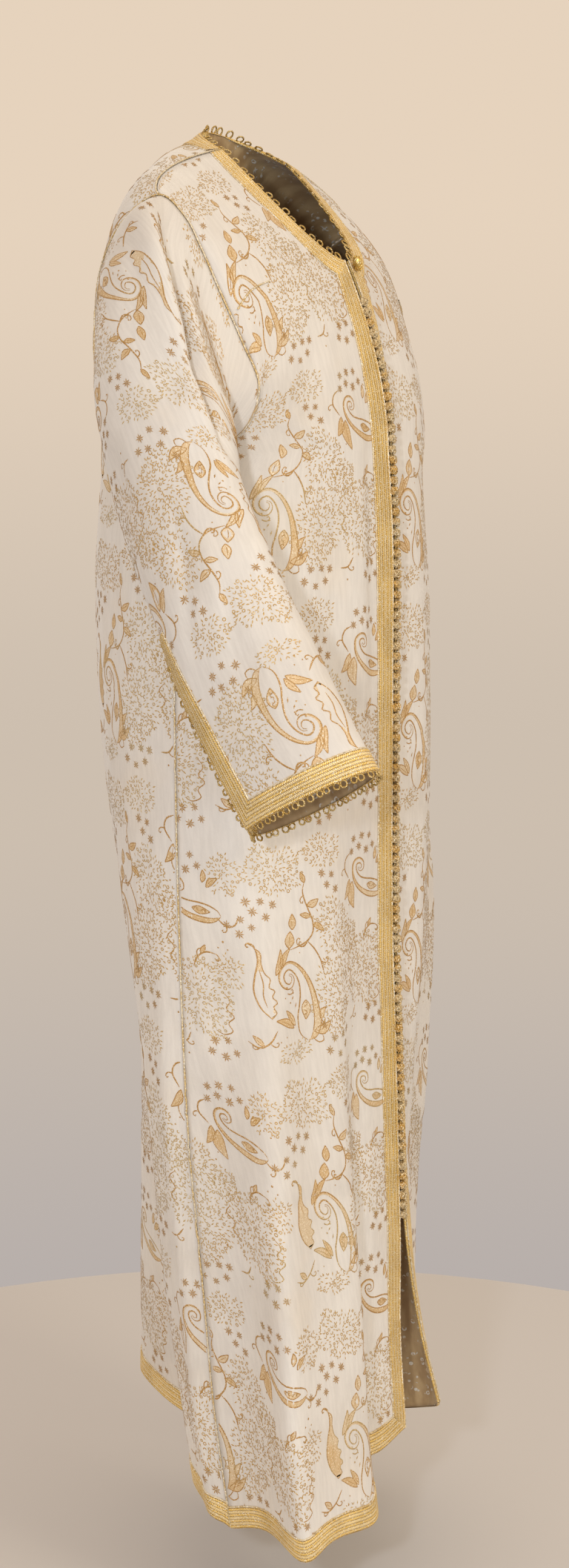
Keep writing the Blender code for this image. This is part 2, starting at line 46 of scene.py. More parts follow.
def selectOnly(*pieces):
    for o in bpy.context.selected_objects:
        o.select_set(False)
    for piece in pieces:
        piece.select_set(True)
    if pieces:
        bpy.context.view_layer.objects.active = pieces[0]


selectOnly()

# The cut's sizes, as in the solids

cut = {
    "frontGap": 0.0053,  # centre line to each front edge
    "neckFront": (0.0053, -0.096, -0.113),
    "neckSide": (0.066, 0.0155, 0.0),
    "neckBack": (0.0, 0.068, 0.028),
    "frontShare": 0.50,  # share of the front yoke below the neckline
    "backShare": 0.50 + 0.497 * 3 / 8,
    "edgeFall": {-1: 0.003, 1: 0.009},  # how far each front falls back beside its braid
    "edgeFallAt": 0.028,  # distance from the edge where it has fallen furthest
    "edgeFallFade": 0.5,  # row below which it fades out towards the hem
    "slitStart": 0.72,
    "slitGap": 4.0,  # degrees
    "slitLap": 0.008,  # its front edge stands out and its back edge tucks in
    "lapSpread": 40.0,  # degrees
    "twist": 132.0,  # degrees, from shoulder to cuff
    "braid": 0.022,
    "seamGap": 0.0008,
    "shoulderRow": 1.997,
    "foldsFull": 1.36,  # drop at which the skirt's folds are full
    "chestCurve": 1.7,  # how the chest curves in to the neckline
    "yokePower": 2.3,
    "sleeveHead": 0.30,  # station where the armhole's shape has faded out
}
sideWords = {-1: "Right", 1: "Left"}

# Front x y z, side x y z, back y z, front power, back power, from armpit to hem
levels = {
    -1: (
        (0.0053, -0.149, -0.305, 0.205, -0.020, -0.315, 0.150, -0.305, 2.4, 2.3),
        (0.0053, -0.155, -0.400, 0.207, -0.018, -0.405, 0.163, -0.400, 2.4, 2.3),
        (0.0053, -0.156, -0.550, 0.213, -0.020, -0.555, 0.157, -0.545, 2.4, 2.3),
        (0.0053, -0.157, -0.785, 0.222, -0.030, -0.795, 0.126, -0.770, 2.4, 2.3),
        (0.0053, -0.164, -0.990, 0.228, -0.044, -1.008, 0.099, -0.965, 2.4, 2.2),
        (0.0053, -0.169, -1.150, 0.221, -0.058, -1.175, 0.107, -1.118, 2.4, 2.0),
        (0.007, -0.171, -1.264, 0.214, -0.066, -1.300, 0.115, -1.225, 2.4, 1.8),
        (0.010, -0.180, -1.365, 0.202, -0.078, -1.428, 0.124, -1.325, 2.4, 1.6),
    ),
    1: (
        (0.0053, -0.149, -0.305, 0.205, 0.000, -0.315, 0.150, -0.305, 2.0, 2.3),
        (0.0053, -0.155, -0.400, 0.207, -0.006, -0.405, 0.163, -0.400, 2.1, 2.3),
        (0.0053, -0.156, -0.550, 0.213, -0.012, -0.555, 0.157, -0.545, 2.2, 2.3),
        (0.0053, -0.157, -0.785, 0.218, -0.016, -0.795, 0.126, -0.770, 2.2, 2.3),
        (0.0053, -0.164, -0.990, 0.198, 0.004, -1.008, 0.099, -0.965, 2.0, 2.1),
        (0.011, -0.170, -1.150, 0.184, 0.014, -1.175, 0.107, -1.118, 1.6, 2.2),
        (0.037, -0.174, -1.264, 0.184, 0.020, -1.300, 0.115, -1.225, 1.4, 2.2),
        (0.064, -0.184, -1.360, 0.188, 0.026, -1.428, 0.124, -1.325, 1.3, 2.1),
    ),
}

# Large skirt folds: start drop, place at start, place at hem, width, shift of the crest at the hem
largeFolds = {
    (-1, True): (
        (0.62, 0.56, 0.54, 0.190, (0.074, -0.044, -0.024)),
        (0.50, 0.30, 0.345, 0.075, (-0.014, -0.030, -0.020)),
        (0.45, 0.14, 0.22, 0.060, (0.000, 0.010, 0.004)),
    ),
    (-1, False): (
        (0.45, 0.25, 0.20, 0.100, (0.000, 0.030, 0.000)),
        (0.60, 0.48, 0.52, 0.140, (-0.034, -0.034, 0.000)),
        (0.55, 0.93, 0.90, 0.050, (0.008, 0.002, 0.000)),
    ),
    (1, True): (
        (0.60, 0.34, 0.34, 0.110, (-0.030, 0.020, 0.000)),
        (0.60, 0.66, 0.62, 0.120, (0.046, -0.016, -0.010)),
    ),
    (1, False): (
        (0.45, 0.25, 0.24, 0.100, (0.000, 0.018, 0.000)),
        (0.60, 0.50, 0.52, 0.130, (-0.034, -0.030, 0.000)),
        (0.55, 0.80, 0.76, 0.090, (0.010, 0.012, 0.000)),
    ),
}

# Turn in degrees from underarm over the back, shoulder and front; right x y z, left x y z
armholeTable = (
    (-180, 0.205, -0.020, -0.315, 0.205, 0.000, -0.315),
    (-150, 0.200, 0.056, -0.293, 0.200, 0.062, -0.293),
    (-120, 0.193, 0.086, -0.240, 0.193, 0.090, -0.240),
    (-90, 0.190, 0.090, -0.182, 0.190, 0.092, -0.182),
    (-60, 0.194, 0.080, -0.130, 0.194, 0.080, -0.130),
    (-30, 0.203, 0.046, -0.084, 0.202, 0.050, -0.084),
    (0, 0.206, 0.000, -0.060, 0.206, 0.012, -0.062),
    (25, 0.205, -0.030, -0.082, 0.203, -0.006, -0.085),
    (50, 0.201, -0.047, -0.114, 0.199, -0.020, -0.115),
    (75, 0.196, -0.066, -0.157, 0.195, -0.034, -0.157),
    (100, 0.191, -0.088, -0.205, 0.192, -0.048, -0.205),
    (125, 0.190, -0.107, -0.250, 0.191, -0.058, -0.250),
    (150, 0.196, -0.088, -0.295, 0.196, -0.046, -0.295),
    (180, 0.205, -0.020, -0.315, 0.205, 0.000, -0.315),
)

# station, outer x z, inner x z, middle y, half depth, lift in degrees
sleeveRings = {
    -1: (
        (0.00, 0.206, -0.060, 0.205, -0.315, 0.0000, 0.0950, 0.0),
        (0.08, 0.236, -0.075, 0.215, -0.318, -0.0040, 0.0790, 2.0),
        (0.16, 0.260, -0.112, 0.220, -0.322, -0.0130, 0.0730, 4.0),
        (0.24, 0.277, -0.160, 0.2235, -0.330, -0.0220, 0.0710, 6.0),
        (0.32, 0.290, -0.213, 0.2265, -0.342, -0.0320, 0.0710, 9.0),
        (0.41, 0.301, -0.272, 0.2290, -0.362, -0.0470, 0.0720, 13.0),
        (0.50, 0.308, -0.330, 0.2310, -0.392, -0.0640, 0.0735, 17.0),
        (0.60, 0.313, -0.390, 0.2330, -0.432, -0.0850, 0.0760, 20.0),
        (0.72, 0.316, -0.458, 0.2340, -0.486, -0.1180, 0.0770, 24.0),
        (0.86, 0.316, -0.545, 0.2330, -0.560, -0.1620, 0.0785, 27.0),
        (1.00, 0.310, -0.642, 0.2300, -0.650, -0.2140, 0.0785, 28.0),
    ),
    1: (
        (0.00, 0.206, -0.062, 0.205, -0.315, 0.0120, 0.0900, 0.0),
        (0.08, 0.234, -0.078, 0.215, -0.318, 0.0180, 0.0780, 0.0),
        (0.16, 0.254, -0.114, 0.220, -0.322, 0.0260, 0.0730, 0.0),
        (0.24, 0.267, -0.160, 0.2235, -0.330, 0.0340, 0.0710, 0.0),
        (0.32, 0.276, -0.213, 0.2265, -0.342, 0.0410, 0.0700, 1.0),
        (0.41, 0.284, -0.272, 0.2290, -0.362, 0.0460, 0.0700, 2.0),
        (0.50, 0.290, -0.330, 0.2310, -0.396, 0.0490, 0.0710, 3.0),
        (0.60, 0.295, -0.396, 0.2330, -0.444, 0.0500, 0.0730, 4.0),
        (0.72, 0.299, -0.474, 0.2340, -0.506, 0.0500, 0.0750, 5.0),
        (0.86, 0.301, -0.566, 0.2330, -0.586, 0.0490, 0.0770, 6.0),
        (1.00, 0.300, -0.662, 0.2300, -0.672, 0.0470, 0.0785, 7.0),
    ),
}

# first and last station, angle there, width in degrees, depth outwards
sleeveFolds = (
    ((0.02, 0.48), (22.0, 88.0), 12.0, -0.024),
    ((0.02, 0.46), (-4.0, 62.0), 18.0, 0.006),
    ((0.10, 0.50), (108.0, 130.0), 24.0, 0.020),
    ((0.36, 0.80), (-60.0, -80.0), 22.0, -0.008),
    ((0.60, 1.00), (10.0, 30.0), 24.0, -0.004),
)


# Smooth curve through stations, for one value or many
def smoothThrough(stations, values, at):
    stations, values = np.asarray(stations, float), np.asarray(values, float)
    at = np.asarray(at, float)
    slope = np.diff(values) / np.diff(stations)
    tangent = np.concatenate([slope[:1], (slope[1:] + slope[:-1]) / 2, slope[-1:]])
    turning = np.zeros(len(tangent), bool)
    turning[1:-1] = slope[1:] * slope[:-1] <= 0
    tangent[turning] = 0
    k = np.clip(np.searchsorted(stations, at) - 1, 0, len(slope) - 1)
    step = stations[k + 1] - stations[k]
    t = (at - stations[k]) / step
    return (values[k] * (1 + 2 * t) * (1 - t) ** 2 + values[k + 1] * t * t * (3 - 2 * t)
            + step * t * (1 - t) * (tangent[k] * (1 - t) - tangent[k + 1] * t))


def ease(t):
    t = np.clip(t, 0.0, 1.0)
    return t * t * (3 - 2 * t)


def levelAt(side, row, *columns):
    table = np.array(levels[side])
    drops = -table[:, 2]
    at = drops[-1] + (drops[0] - drops[-1]) * row
    return np.array([float(smoothThrough(drops, table[:, k], at)) for k in columns])


def frontEdge(side, row):
    return levelAt(side, row, 0, 1, 2)


def centreBack(row):
    return np.array([0.0, *levelAt(1, row, 6, 7)])


def armhole(side, turn):
    table = np.array(armholeTable)
    first = 1 if side < 0 else 4
    return np.stack([smoothThrough(table[:, 0], table[:, first + k], turn) for k in range(3)], axis=-1)


def neckline(share, start, leanPower):
    angle = share * math.pi / 2
    side = cut["neckSide"]
    lean = max(math.cos(angle), 0.0) ** leanPower
    return np.array([start[0] + (side[0] - start[0]) * math.sin(angle),
                     side[1] + (start[1] - side[1]) * math.cos(angle),
                     side[2] + (start[2] - side[2]) * lean])


def yokeInner(side, row, front):
    share = cut["frontShare"] if front else cut["backShare"]
    start = cut["neckFront"] if front else cut["neckBack"]
    if row >= share:
        return neckline((row - share) / (1 - share), start, 1.08 if front else 1.0)
    foot = frontEdge(side, 1.0) if front else centreBack(1.0)
    t = row / share
    return foot + (np.array(start) - foot) * np.array([t, t ** cut["chestCurve"], t])


# Points of one row of the body, share 0 at the front edge or centre back, 1 at the side
def bodyRow(side, front, row, share):
    if row <= 1:
        inner = frontEdge(side, row) if front else centreBack(row)
        outer = levelAt(side, row, 3, 4, 5)
        power = levelAt(side, row, 8 if front else 9)[0]
    else:
        turn = 180 * (2 - row)
        inner = yokeInner(side, row - 1, front)
        outer = armhole(side, turn if front else -turn)
        power = cut["yokePower"]
    angle = share * math.pi / 2
    across = np.sin(angle) ** (2 / power)
    ahead = np.clip(np.cos(angle), 0.0, 1.0) ** (2 / power)
    points = np.stack([inner[0] + (outer[0] - inner[0]) * across,
                       outer[1] + (inner[1] - outer[1]) * ahead,
                       inner[2] + (outer[2] - inner[2]) * share], axis=-1)
    if row <= 1:
        drop = -(inner[2] + (outer[2] - inner[2]) * share)
        for start, placeStart, placeHem, width, shift in largeFolds[(side, front)]:
            grown = ease((drop - start) / (cut["foldsFull"] - start))
            place = placeStart + (placeHem - placeStart) * grown
            points += np.array(shift) * (grown * np.exp(-(((share - place) / width) ** 2)))[:, None]
    if front:
        away = (points[:, 0] - inner[0]) / cut["edgeFallAt"]
        held = ease(row / cut["edgeFallFade"]) * (1 - ease((row - 1) / cut["frontShare"]))
        points[:, 1] += cut["edgeFall"][side] * held * away * np.exp((1 - away * away) / 2)
    points[:, 0] *= side
    return points


def sleeveRing(side, station, turn):
    rings = np.array(sleeveRings[side])
    outX, outZ, inX, inZ, midY, depth, lift = [
        float(smoothThrough(rings[:, 0], rings[:, k], station)) for k in range(1, 8)]
    outer, inner = np.array([outX, 0.0, outZ]), np.array([inX, 0.0, inZ])
    middle = (outer + inner) / 2 + np.array([0.0, midY, 0.0])
    lift = math.radians(lift)
    forward = np.array([0.0, -math.cos(lift), math.sin(lift)]) * depth
    angle = turn + cut["twist"] * ease(station)
    out = np.ones(len(turn))
    for (first, last), (angleFirst, angleLast), width, height in sleeveFolds:
        along = (station - first) / (last - first)
        if 0 < along < 1:
            apart = (angle - (angleFirst + (angleLast - angleFirst) * along) + 180) % 360 - 180
            out += height / depth * math.sin(along * math.pi) * np.exp(-((apart / width) ** 2))
    opened = ease((station - cut["slitStart"]) / (1 - cut["slitStart"]))
    before, after = (np.exp(-(((turn - end) / cut["lapSpread"]) ** 2)) for end in (-180, 180))
    out += cut["slitLap"] / depth * opened * (before - after)
    turned = np.radians(angle)
    points = middle + out[:, None] * ((outer - inner) / 2 * np.cos(turned)[:, None]
                                      + forward * np.sin(turned)[:, None])
    # the head of the sleeve meets the armhole seam
    first = rings[0]
    cosine, sine = np.cos(np.radians(turn)), np.sin(np.radians(turn))
    circle = np.stack([(first[1] - first[3]) / 2 * cosine + (first[1] + first[3]) / 2,
                       first[5] - first[6] * sine,
                       (first[2] - first[4]) / 2 * cosine + (first[2] + first[4]) / 2], axis=-1)
    points = points + (armhole(side, turn) - circle) * (1 - ease(station / cut["sleeveHead"]))
    points[:, 0] *= side
    return points


def distances(line):
    return np.concatenate([[0.0], np.cumsum(np.linalg.norm(np.diff(line, axis=0), axis=1))])


def unit(vectors):
    return vectors / np.maximum(np.linalg.norm(vectors, axis=-1, keepdims=True), 1e-9)


# Values of grids at fractional rows and columns
def blendAt(rows, columns, *grids):
    i, j = rows.astype(int), columns.astype(int)
    a, b = (rows - i)[..., None], (columns - j)[..., None]
    return [(grid[i, j] * (1 - b) + grid[i, j + 1] * b) * (1 - a)
            + (grid[i + 1, j] * (1 - b) + grid[i + 1, j + 1] * b) * a for grid in grids]


# The line that draw gives for shares, drawn again with its points evenly apart
def evenly(draw, trial, count, short=0.0):
    gone = distances(draw(trial))
    return draw(np.interp(np.linspace(0.0, gone[-1] - short, count), gone, trial))


# One cut piece: a grid of points with its flat measures in metres, across from a line and down
class Panel:
    def __init__(self, name, points, start, outwards):
        self.name, self.points = name, points
        self.start = start  # across, where each row begins
        self.outwards = outwards  # 1 or -1, for the grid's normal
        self.width = np.linalg.norm(np.diff(points, axis=1), axis=2).sum(axis=1)
        self.down = distances(points[:, points.shape[1] * 2 // 5])
        self.length = self.down[-1]
        self.findNormals()

    def findNormals(self):
        normal = np.cross(np.gradient(self.points, axis=1), np.gradient(self.points, axis=0))
        self.normals = unit(normal) * self.outwards

    def flat(self):
        share = np.linspace(0.0, 1.0, self.points.shape[1])
        across = self.start[:, None] + self.width[:, None] * share
        return across, np.broadcast_to(self.down[:, None], across.shape)

    # Places on the cloth for flat measures, and whether they are inside it
    def place(self, across, down, lift, margin=0.0):
        rows, columns = self.points.shape[:2]
        r = np.interp(down, self.down, np.arange(rows))
        start = np.interp(r, np.arange(rows), self.start)
        width = np.interp(r, np.arange(rows), self.width)
        c = (across - start) / width * (columns - 1)
        inside = (down >= margin) & (down <= self.length - margin)
        inside &= (across >= start + margin) & (across <= start + width - margin)
        spot, normal = blendAt(np.clip(r, 0, rows - 1.0001), np.clip(c, 0, columns - 1.0001),
                               self.points, self.normals)
        normal = unit(normal)
        return spot + normal * np.asarray(lift)[..., None], normal, inside


# Evens the bend between the yoke's and the skirt's rows, away from the panel's edges
def soften(points):
    rows, columns = points.shape[:2]
    edge = np.minimum(np.arange(columns), np.arange(columns)[::-1]) / 6
    weight = np.clip(edge, 0, 1)[None, :, None] * np.ones((rows, 1, 1))
    weight[0] = weight[-1] = 0
    for _ in range(mesh["softening"]):
        mean = points.copy()
        mean[1:-1] = (points[:-2] + 2 * points[1:-1] + points[2:]) / 4
        points = points + (mean - points) * weight
    return points


def bodyPanel(side, front):
    share = 1 + (cut["frontShare"] if front else cut["backShare"])
    rows = np.concatenate([np.linspace(cut["shoulderRow"], share, mesh["yokeRows"]),
                           np.linspace(share, 1.0, mesh["chestRows"])[1:],
                           np.linspace(1.0, 0.0, mesh["skirtRows"])[1:]])
    trial = 0.5 - 0.5 * np.cos(np.linspace(0, math.pi, mesh["trialBody"]))
    points = np.array([evenly(lambda share: bodyRow(side, front, row, share), trial, mesh["bodyColumns"],
                              cut["seamGap"] / 2) for row in rows])
    start = np.where(rows > share, abs(points[:, 0, 0]) - (cut["frontGap"] if front else 0.0), 0.0)
    name = ("front" if front else "back") + sideWords[side]
    # rows run down here, so the front of the right side and the back of the left face outwards
    return Panel(name, soften(points), start, 1.0 if (side < 0) == front else -1.0)


def sleevePanel(side):
    stations = np.linspace(mesh["sleeveStart"], 1.0, mesh["sleeveRows"])
    lines = []
    for station in stations:
        opened = max(0.0, (station - cut["slitStart"]) / (1 - cut["slitStart"]))
        edge = 180 - cut["slitGap"] * opened
        trial = np.linspace(-edge, edge, mesh["trialSleeve"])
        lines.append(evenly(lambda turn: sleeveRing(side, station, turn), trial, mesh["sleeveColumns"]))
    points = np.array(lines)
    # the cloth's threads run straight down the arm, so each row starts further round
    around = np.linalg.norm(np.diff(points, axis=1), axis=2).sum(axis=1)
    start = around * cut["twist"] * ease(stations) / 360
    return Panel("sleeve" + sideWords[side], points, start, -1.0 if side < 0 else 1.0)


mesh = {
    "yokeRows": 30,
    "chestRows": 28,
    "skirtRows": 168,
    "bodyColumns": 58,
    "sleeveRows": 104,
    "sleeveColumns": 84,
    "softening": 60,
    "wall": 0.0012,
    "merge": 0.00004,  # corners this close become one
    "halvesMeet": 0.004,  # halves of the back this close are joined
    "sleeveStart": 0.003,  # station of the first row, just past the seam
    "trialBody": 181, "trialSleeve": 241,  # places tried before a row is spaced evenly
}

panels = {}
for side in (-1, 1):
    for panel in (bodyPanel(side, True), bodyPanel(side, False), sleevePanel(side)):
        panels[panel.name] = panel
sizes = (f"{name} {p.width.max():.2f} x {p.length:.2f} m" for name, p in panels.items())
print("panels cut:", ", ".join(sizes))


# Creases: width and depth outwards, then flat places (across, down) along each line, all in mm
creases = {
    "frontRight": (
        # pressed fold across the skirt and the one beside the side seam
        (6, -1.6, 20, 1105, 150, 1112, 300, 1108),
        (8, 2.2, 275, 600, 283, 800, 290, 1050),
        # soft drapes from the bust and down the skirt
        (12, -3, 30, 300, 34, 480, 30, 700),
        (16, 2.8, 52, 340, 58, 550, 54, 820),
        (20, -3, 100, 420, 110, 620, 120, 900),
        (18, 3.4, 75, 800, 90, 1000, 105, 1300),
        (24, -3.4, 170, 620, 180, 850, 175, 1200),
        (18, 2.6, 215, 500, 222, 700, 235, 920),
        # pulls at the front of the armhole
        (12, -2.2, 150, 330, 110, 385, 60, 420),
        (10, 2, 165, 300, 120, 335, 75, 352),
        (14, -1.6, 70, 190, 100, 245, 140, 290),
    ),
    "frontLeft": (
        (13, -2.6, 28, 320, 34, 520, 30, 780),
        (18, 2.6, 70, 400, 78, 640, 85, 950),
        (22, -3.2, 150, 450, 150, 700, 160, 1050),
        (18, 2.8, 205, 600, 200, 820, 190, 1120),
        (11, 2, 160, 305, 115, 345, 70, 368),
        (6, -1.4, 20, 1100, 130, 1106, 240, 1102),
    ),
    "backRight": (
        (22, -3.4, 60, 420, 65, 660, 70, 1000),
        (20, 3.4, 140, 500, 145, 800, 150, 1160),
        (18, -3, 215, 360, 220, 620, 225, 900),
        (14, 2.2, 200, 260, 150, 330, 85, 372),
        (6, -1.4, 30, 1098, 150, 1104, 270, 1100),
        (14, 2.6, 30, 800, 28, 1000, 32, 1250),
    ),
    "backLeft": (
        (22, -3.2, 75, 460, 70, 720, 65, 1050),
        (20, 3.6, 150, 460, 155, 740, 150, 1080),
        (18, -2.8, 225, 400, 220, 700, 215, 960),
        (14, 2, 205, 250, 150, 318, 80, 350),
        (6, -1.4, 30, 1098, 150, 1103, 260, 1099),
    ),
    "sleeveRight": (
        # from the cap, across the elbow, beside the slit and above the cuff
        (12, -2.4, 301, 38, 258, 114, 227, 163),
        (12, -2.4, 360, 128, 243, 227, 203, 254),
        (13, -3, 346, 199, 228, 301, 190, 320),
        (10, 1.8, 330, 215, 270, 262, 225, 285),
        (12, -3.2, 143, 254, 140, 300, 142, 350),
        (8, -4.2, 198, 360, 192, 408, 176, 463, 166, 500),
        (10, 2.6, 222, 370, 216, 430, 196, 510),
        (16, -2.2, 264, 371, 250, 440, 252, 500),
        (12, 2.2, 243, 456, 237, 527, 225, 600),
        (13, -2.6, 320, 400, 332, 490, 322, 590),
        (16, -3, 420, 300, 440, 400, 450, 500),
    ),
    "sleeveLeft": (
        (11, -3, 330, 50, 350, 140, 390, 240),
        (12, 2.6, 255, 70, 275, 150, 300, 240),
        (11, -3, 215, 215, 280, 245, 350, 262),
        (11, 2.6, 400, 300, 320, 330, 245, 340),
        (12, -3, 220, 280, 265, 330, 330, 360),
        (13, -2.8, 345, 370, 385, 450, 390, 560),
    ),
}
ripple = {
    "ends": 0.03,  # metres at neck and hem without any
    "samples": 28,  # places along a crease
    "height": 0.0009,
    "waves": ((61.0, 9.0, 0.4), (23.0, 31.0, 2.1), (97.0, -17.0, 4.0), (41.0, 52.0, 1.3)),
}


# Smooth line through a few flat places in mm
def throughPlaces(places, count):
    places = np.reshape(places, (-1, 2)) / 1000
    gone = distances(places)
    at = np.linspace(0.0, gone[-1], count)
    return np.stack([smoothThrough(gone, places[:, k], at) for k in (0, 1)], axis=1)


def addCreases(panel, lines):
    across, down = panel.flat()
    height = np.zeros(across.shape)
    share = np.linspace(0, 1, ripple["samples"])
    for width, depth, *places in lines:
        best, along = np.full(across.shape, 1e9), np.zeros(across.shape)
        for k, (a, d) in enumerate(throughPlaces(places, len(share))):
            away = (across - a) ** 2 + (down - d) ** 2
            nearer = away < best
            best[nearer] = away[nearer]
            along[nearer] = share[k]
        fade = np.sin(math.pi * np.clip(along, 0.02, 0.98)) ** 0.6
        height += depth / 1000 * np.exp(-best / (width / 1000) ** 2) * fade
    # slight unevenness of cloth that hangs free
    for k, (waveAcross, waveDown, phase) in enumerate(ripple["waves"]):
        height += ripple["height"] * np.sin(across * waveAcross + down * waveDown + phase) / (k + 1.5)
    share = np.linspace(0, 1, across.shape[1])
    edge = np.clip(np.minimum(share, 1 - share) * across.shape[1] / 4, 0, 1)[None, :]
    ends = np.clip(np.minimum(down, panel.length - down) / ripple["ends"], 0, 1)
    panel.points = panel.points + panel.normals * (height * edge * ends)[:, :, None]
    panel.findNormals()


for name, lines in creases.items():
    addCreases(panels[name], lines)
print("creases laid")


# Materials: ways to add, set and link one material's nodes
class Mixer:
    def __init__(self, tree):
        self.nodes, self.links = tree.nodes, tree.links

    # Sets a socket's value or links one into it
    def put(self, socket, value):
        if isinstance(value, bpy.types.NodeSocket):
            self.links.new(value, socket)
        elif value is not None:
            socket.default_value = (*value, 1.0) if socket.type == "RGBA" else value

    def node(self, kind, inputs=None, **settings):
        node = self.nodes.new("ShaderNode" + kind)
        for key, value in settings.items():
            setattr(node, key, value)
        for key, value in (inputs or {}).items():
            self.put(node.inputs[key], value)
        return node

    def place(self, kind):
        return self.node("TexCoord").outputs[kind]

    def math(self, operation, *values):
        return self.node("Math", dict(enumerate(values)), operation=operation).outputs[0]

    def times(self, first, second):
        return self.math("MULTIPLY", first, second)

    # Colours or greys at places along a value
    def ramp(self, value, *stops):
        node = self.node("ValToRGB", {0: value})
        node.color_ramp.interpolation = "EASE"
        elements = node.color_ramp.elements
        while len(elements) < len(stops):
            elements.new(0.5)
        for element, (place, colour) in zip(elements, stops):
            element.position = place
            element.color = (*(colour if np.ndim(colour) else (colour,) * 3), 1.0)
        return node.outputs[0]

    def mix(self, factor, first, second, blend="MIX"):
        inputs = {0: factor, 6: first, 7: second}
        return self.node("Mix", inputs, data_type="RGBA", blend_type=blend).outputs[2]

    def noise(self, vector, scale, detail=2.0, stretch=None):
        if stretch:
            vector = self.node("Mapping", {0: vector, "Scale": stretch}).outputs[0]
        return self.node("TexNoise", {"Vector": vector, "Scale": scale, "Detail": detail}).outputs[0]

    def bump(self, height, distance, strength=1.0, under=None):
        inputs = {"Height": height, "Distance": distance, "Strength": strength, "Normal": under}
        return self.node("Bump", inputs).outputs[0]


# A material whose shader gets what the look function gives
def newMaterial(name, look, *values):
    material = bpy.data.materials.new(name)
    material.use_nodes = True
    mixer = Mixer(material.node_tree)
    for socket, value in look(mixer, *values).items():
        mixer.put(mixer.nodes["Principled BSDF"].inputs[socket], value)
    return material


clothLook = {
    "ivory": (0.768, 0.736, 0.700),
    "shade": (0.704, 0.664, 0.622),
    "warm": (0.785, 0.696, 0.580),
    "sheen": 0.35,
    "twill": 0.0013,  # metres from line to line
    "slub": (260.0, 34.0, 1.0),
}


def satin(m):
    uv, body = m.place("UV"), m.place("Object")
    slub = m.noise(uv, 1.0, 2.0, clothLook["slub"])
    colour = m.ramp(m.noise(body, 7.0, 3.0), (0.30, clothLook["shade"]), (0.62, clothLook["ivory"]))
    warmth = m.ramp(m.noise(body, 16.0), (0.52, 0), (0.78, 1))
    colour = m.mix(m.times(warmth, 0.30), colour, clothLook["warm"])
    colour = m.mix(1.0, colour, m.ramp(slub, (0.35, 0.94), (0.65, 1)), "MULTIPLY")
    turned = m.node("Mapping", {0: uv, "Rotation": (0.0, 0.0, 0.6)}).outputs[0]
    lines = 1.0 / clothLook["twill"] / 6.2832 * 3.1416
    twill = m.node("TexWave", {"Vector": turned, "Scale": lines, "Distortion": 0.6})
    grain = m.bump(twill.outputs["Fac"], 0.00006)
    grain = m.bump(slub, 0.00012, under=grain)
    grain = m.bump(m.noise(body, 38.0, 3.0), 0.0016, 0.8, grain)
    return {"Base Color": colour, "Normal": grain, "Roughness": m.ramp(slub, (0.3, 0.46), (0.7, 0.58)),
            "Sheen Weight": clothLook["sheen"], "Sheen Roughness": 0.45, "Specular IOR Level": 0.45}


reverseLook = {
    "ground": (0.390, 0.255, 0.125),
    "groundLight": (0.550, 0.395, 0.210),
    "float": (0.740, 0.700, 0.620),
    "seed": 118.0,  # rings and seeds to the metre
}


# The back of the brocade, where the figures' floats show silver on brown-gold
def reverse(m):
    uv = m.place("UV")
    ground = m.ramp(m.noise(uv, 1.0, 3.0, (60.0, 22.0, 1.0)),
                    (0.35, reverseLook["ground"]), (0.65, reverseLook["groundLight"]))
    cells = m.node("TexVoronoi", {"Vector": uv, "Scale": reverseLook["seed"], "Randomness": 0.85})
    away = m.math("ABSOLUTE", m.math("SUBTRACT", cells.outputs["Distance"], 0.27))
    ring = m.ramp(away, (0.05, 1), (0.12, 0))
    broken = m.ramp(m.noise(uv, 150.0, 1.0), (0.44, 0), (0.54, 1))
    patches = m.ramp(m.noise(uv, 14.0, 1.0), (0.40, 0), (0.52, 1))
    shown = m.times(m.times(ring, broken), patches)
    return {"Base Color": m.mix(shown, ground, reverseLook["float"]), "Normal": m.bump(shown, 0.0004),
            "Roughness": 0.55, "Sheen Weight": 0.2}


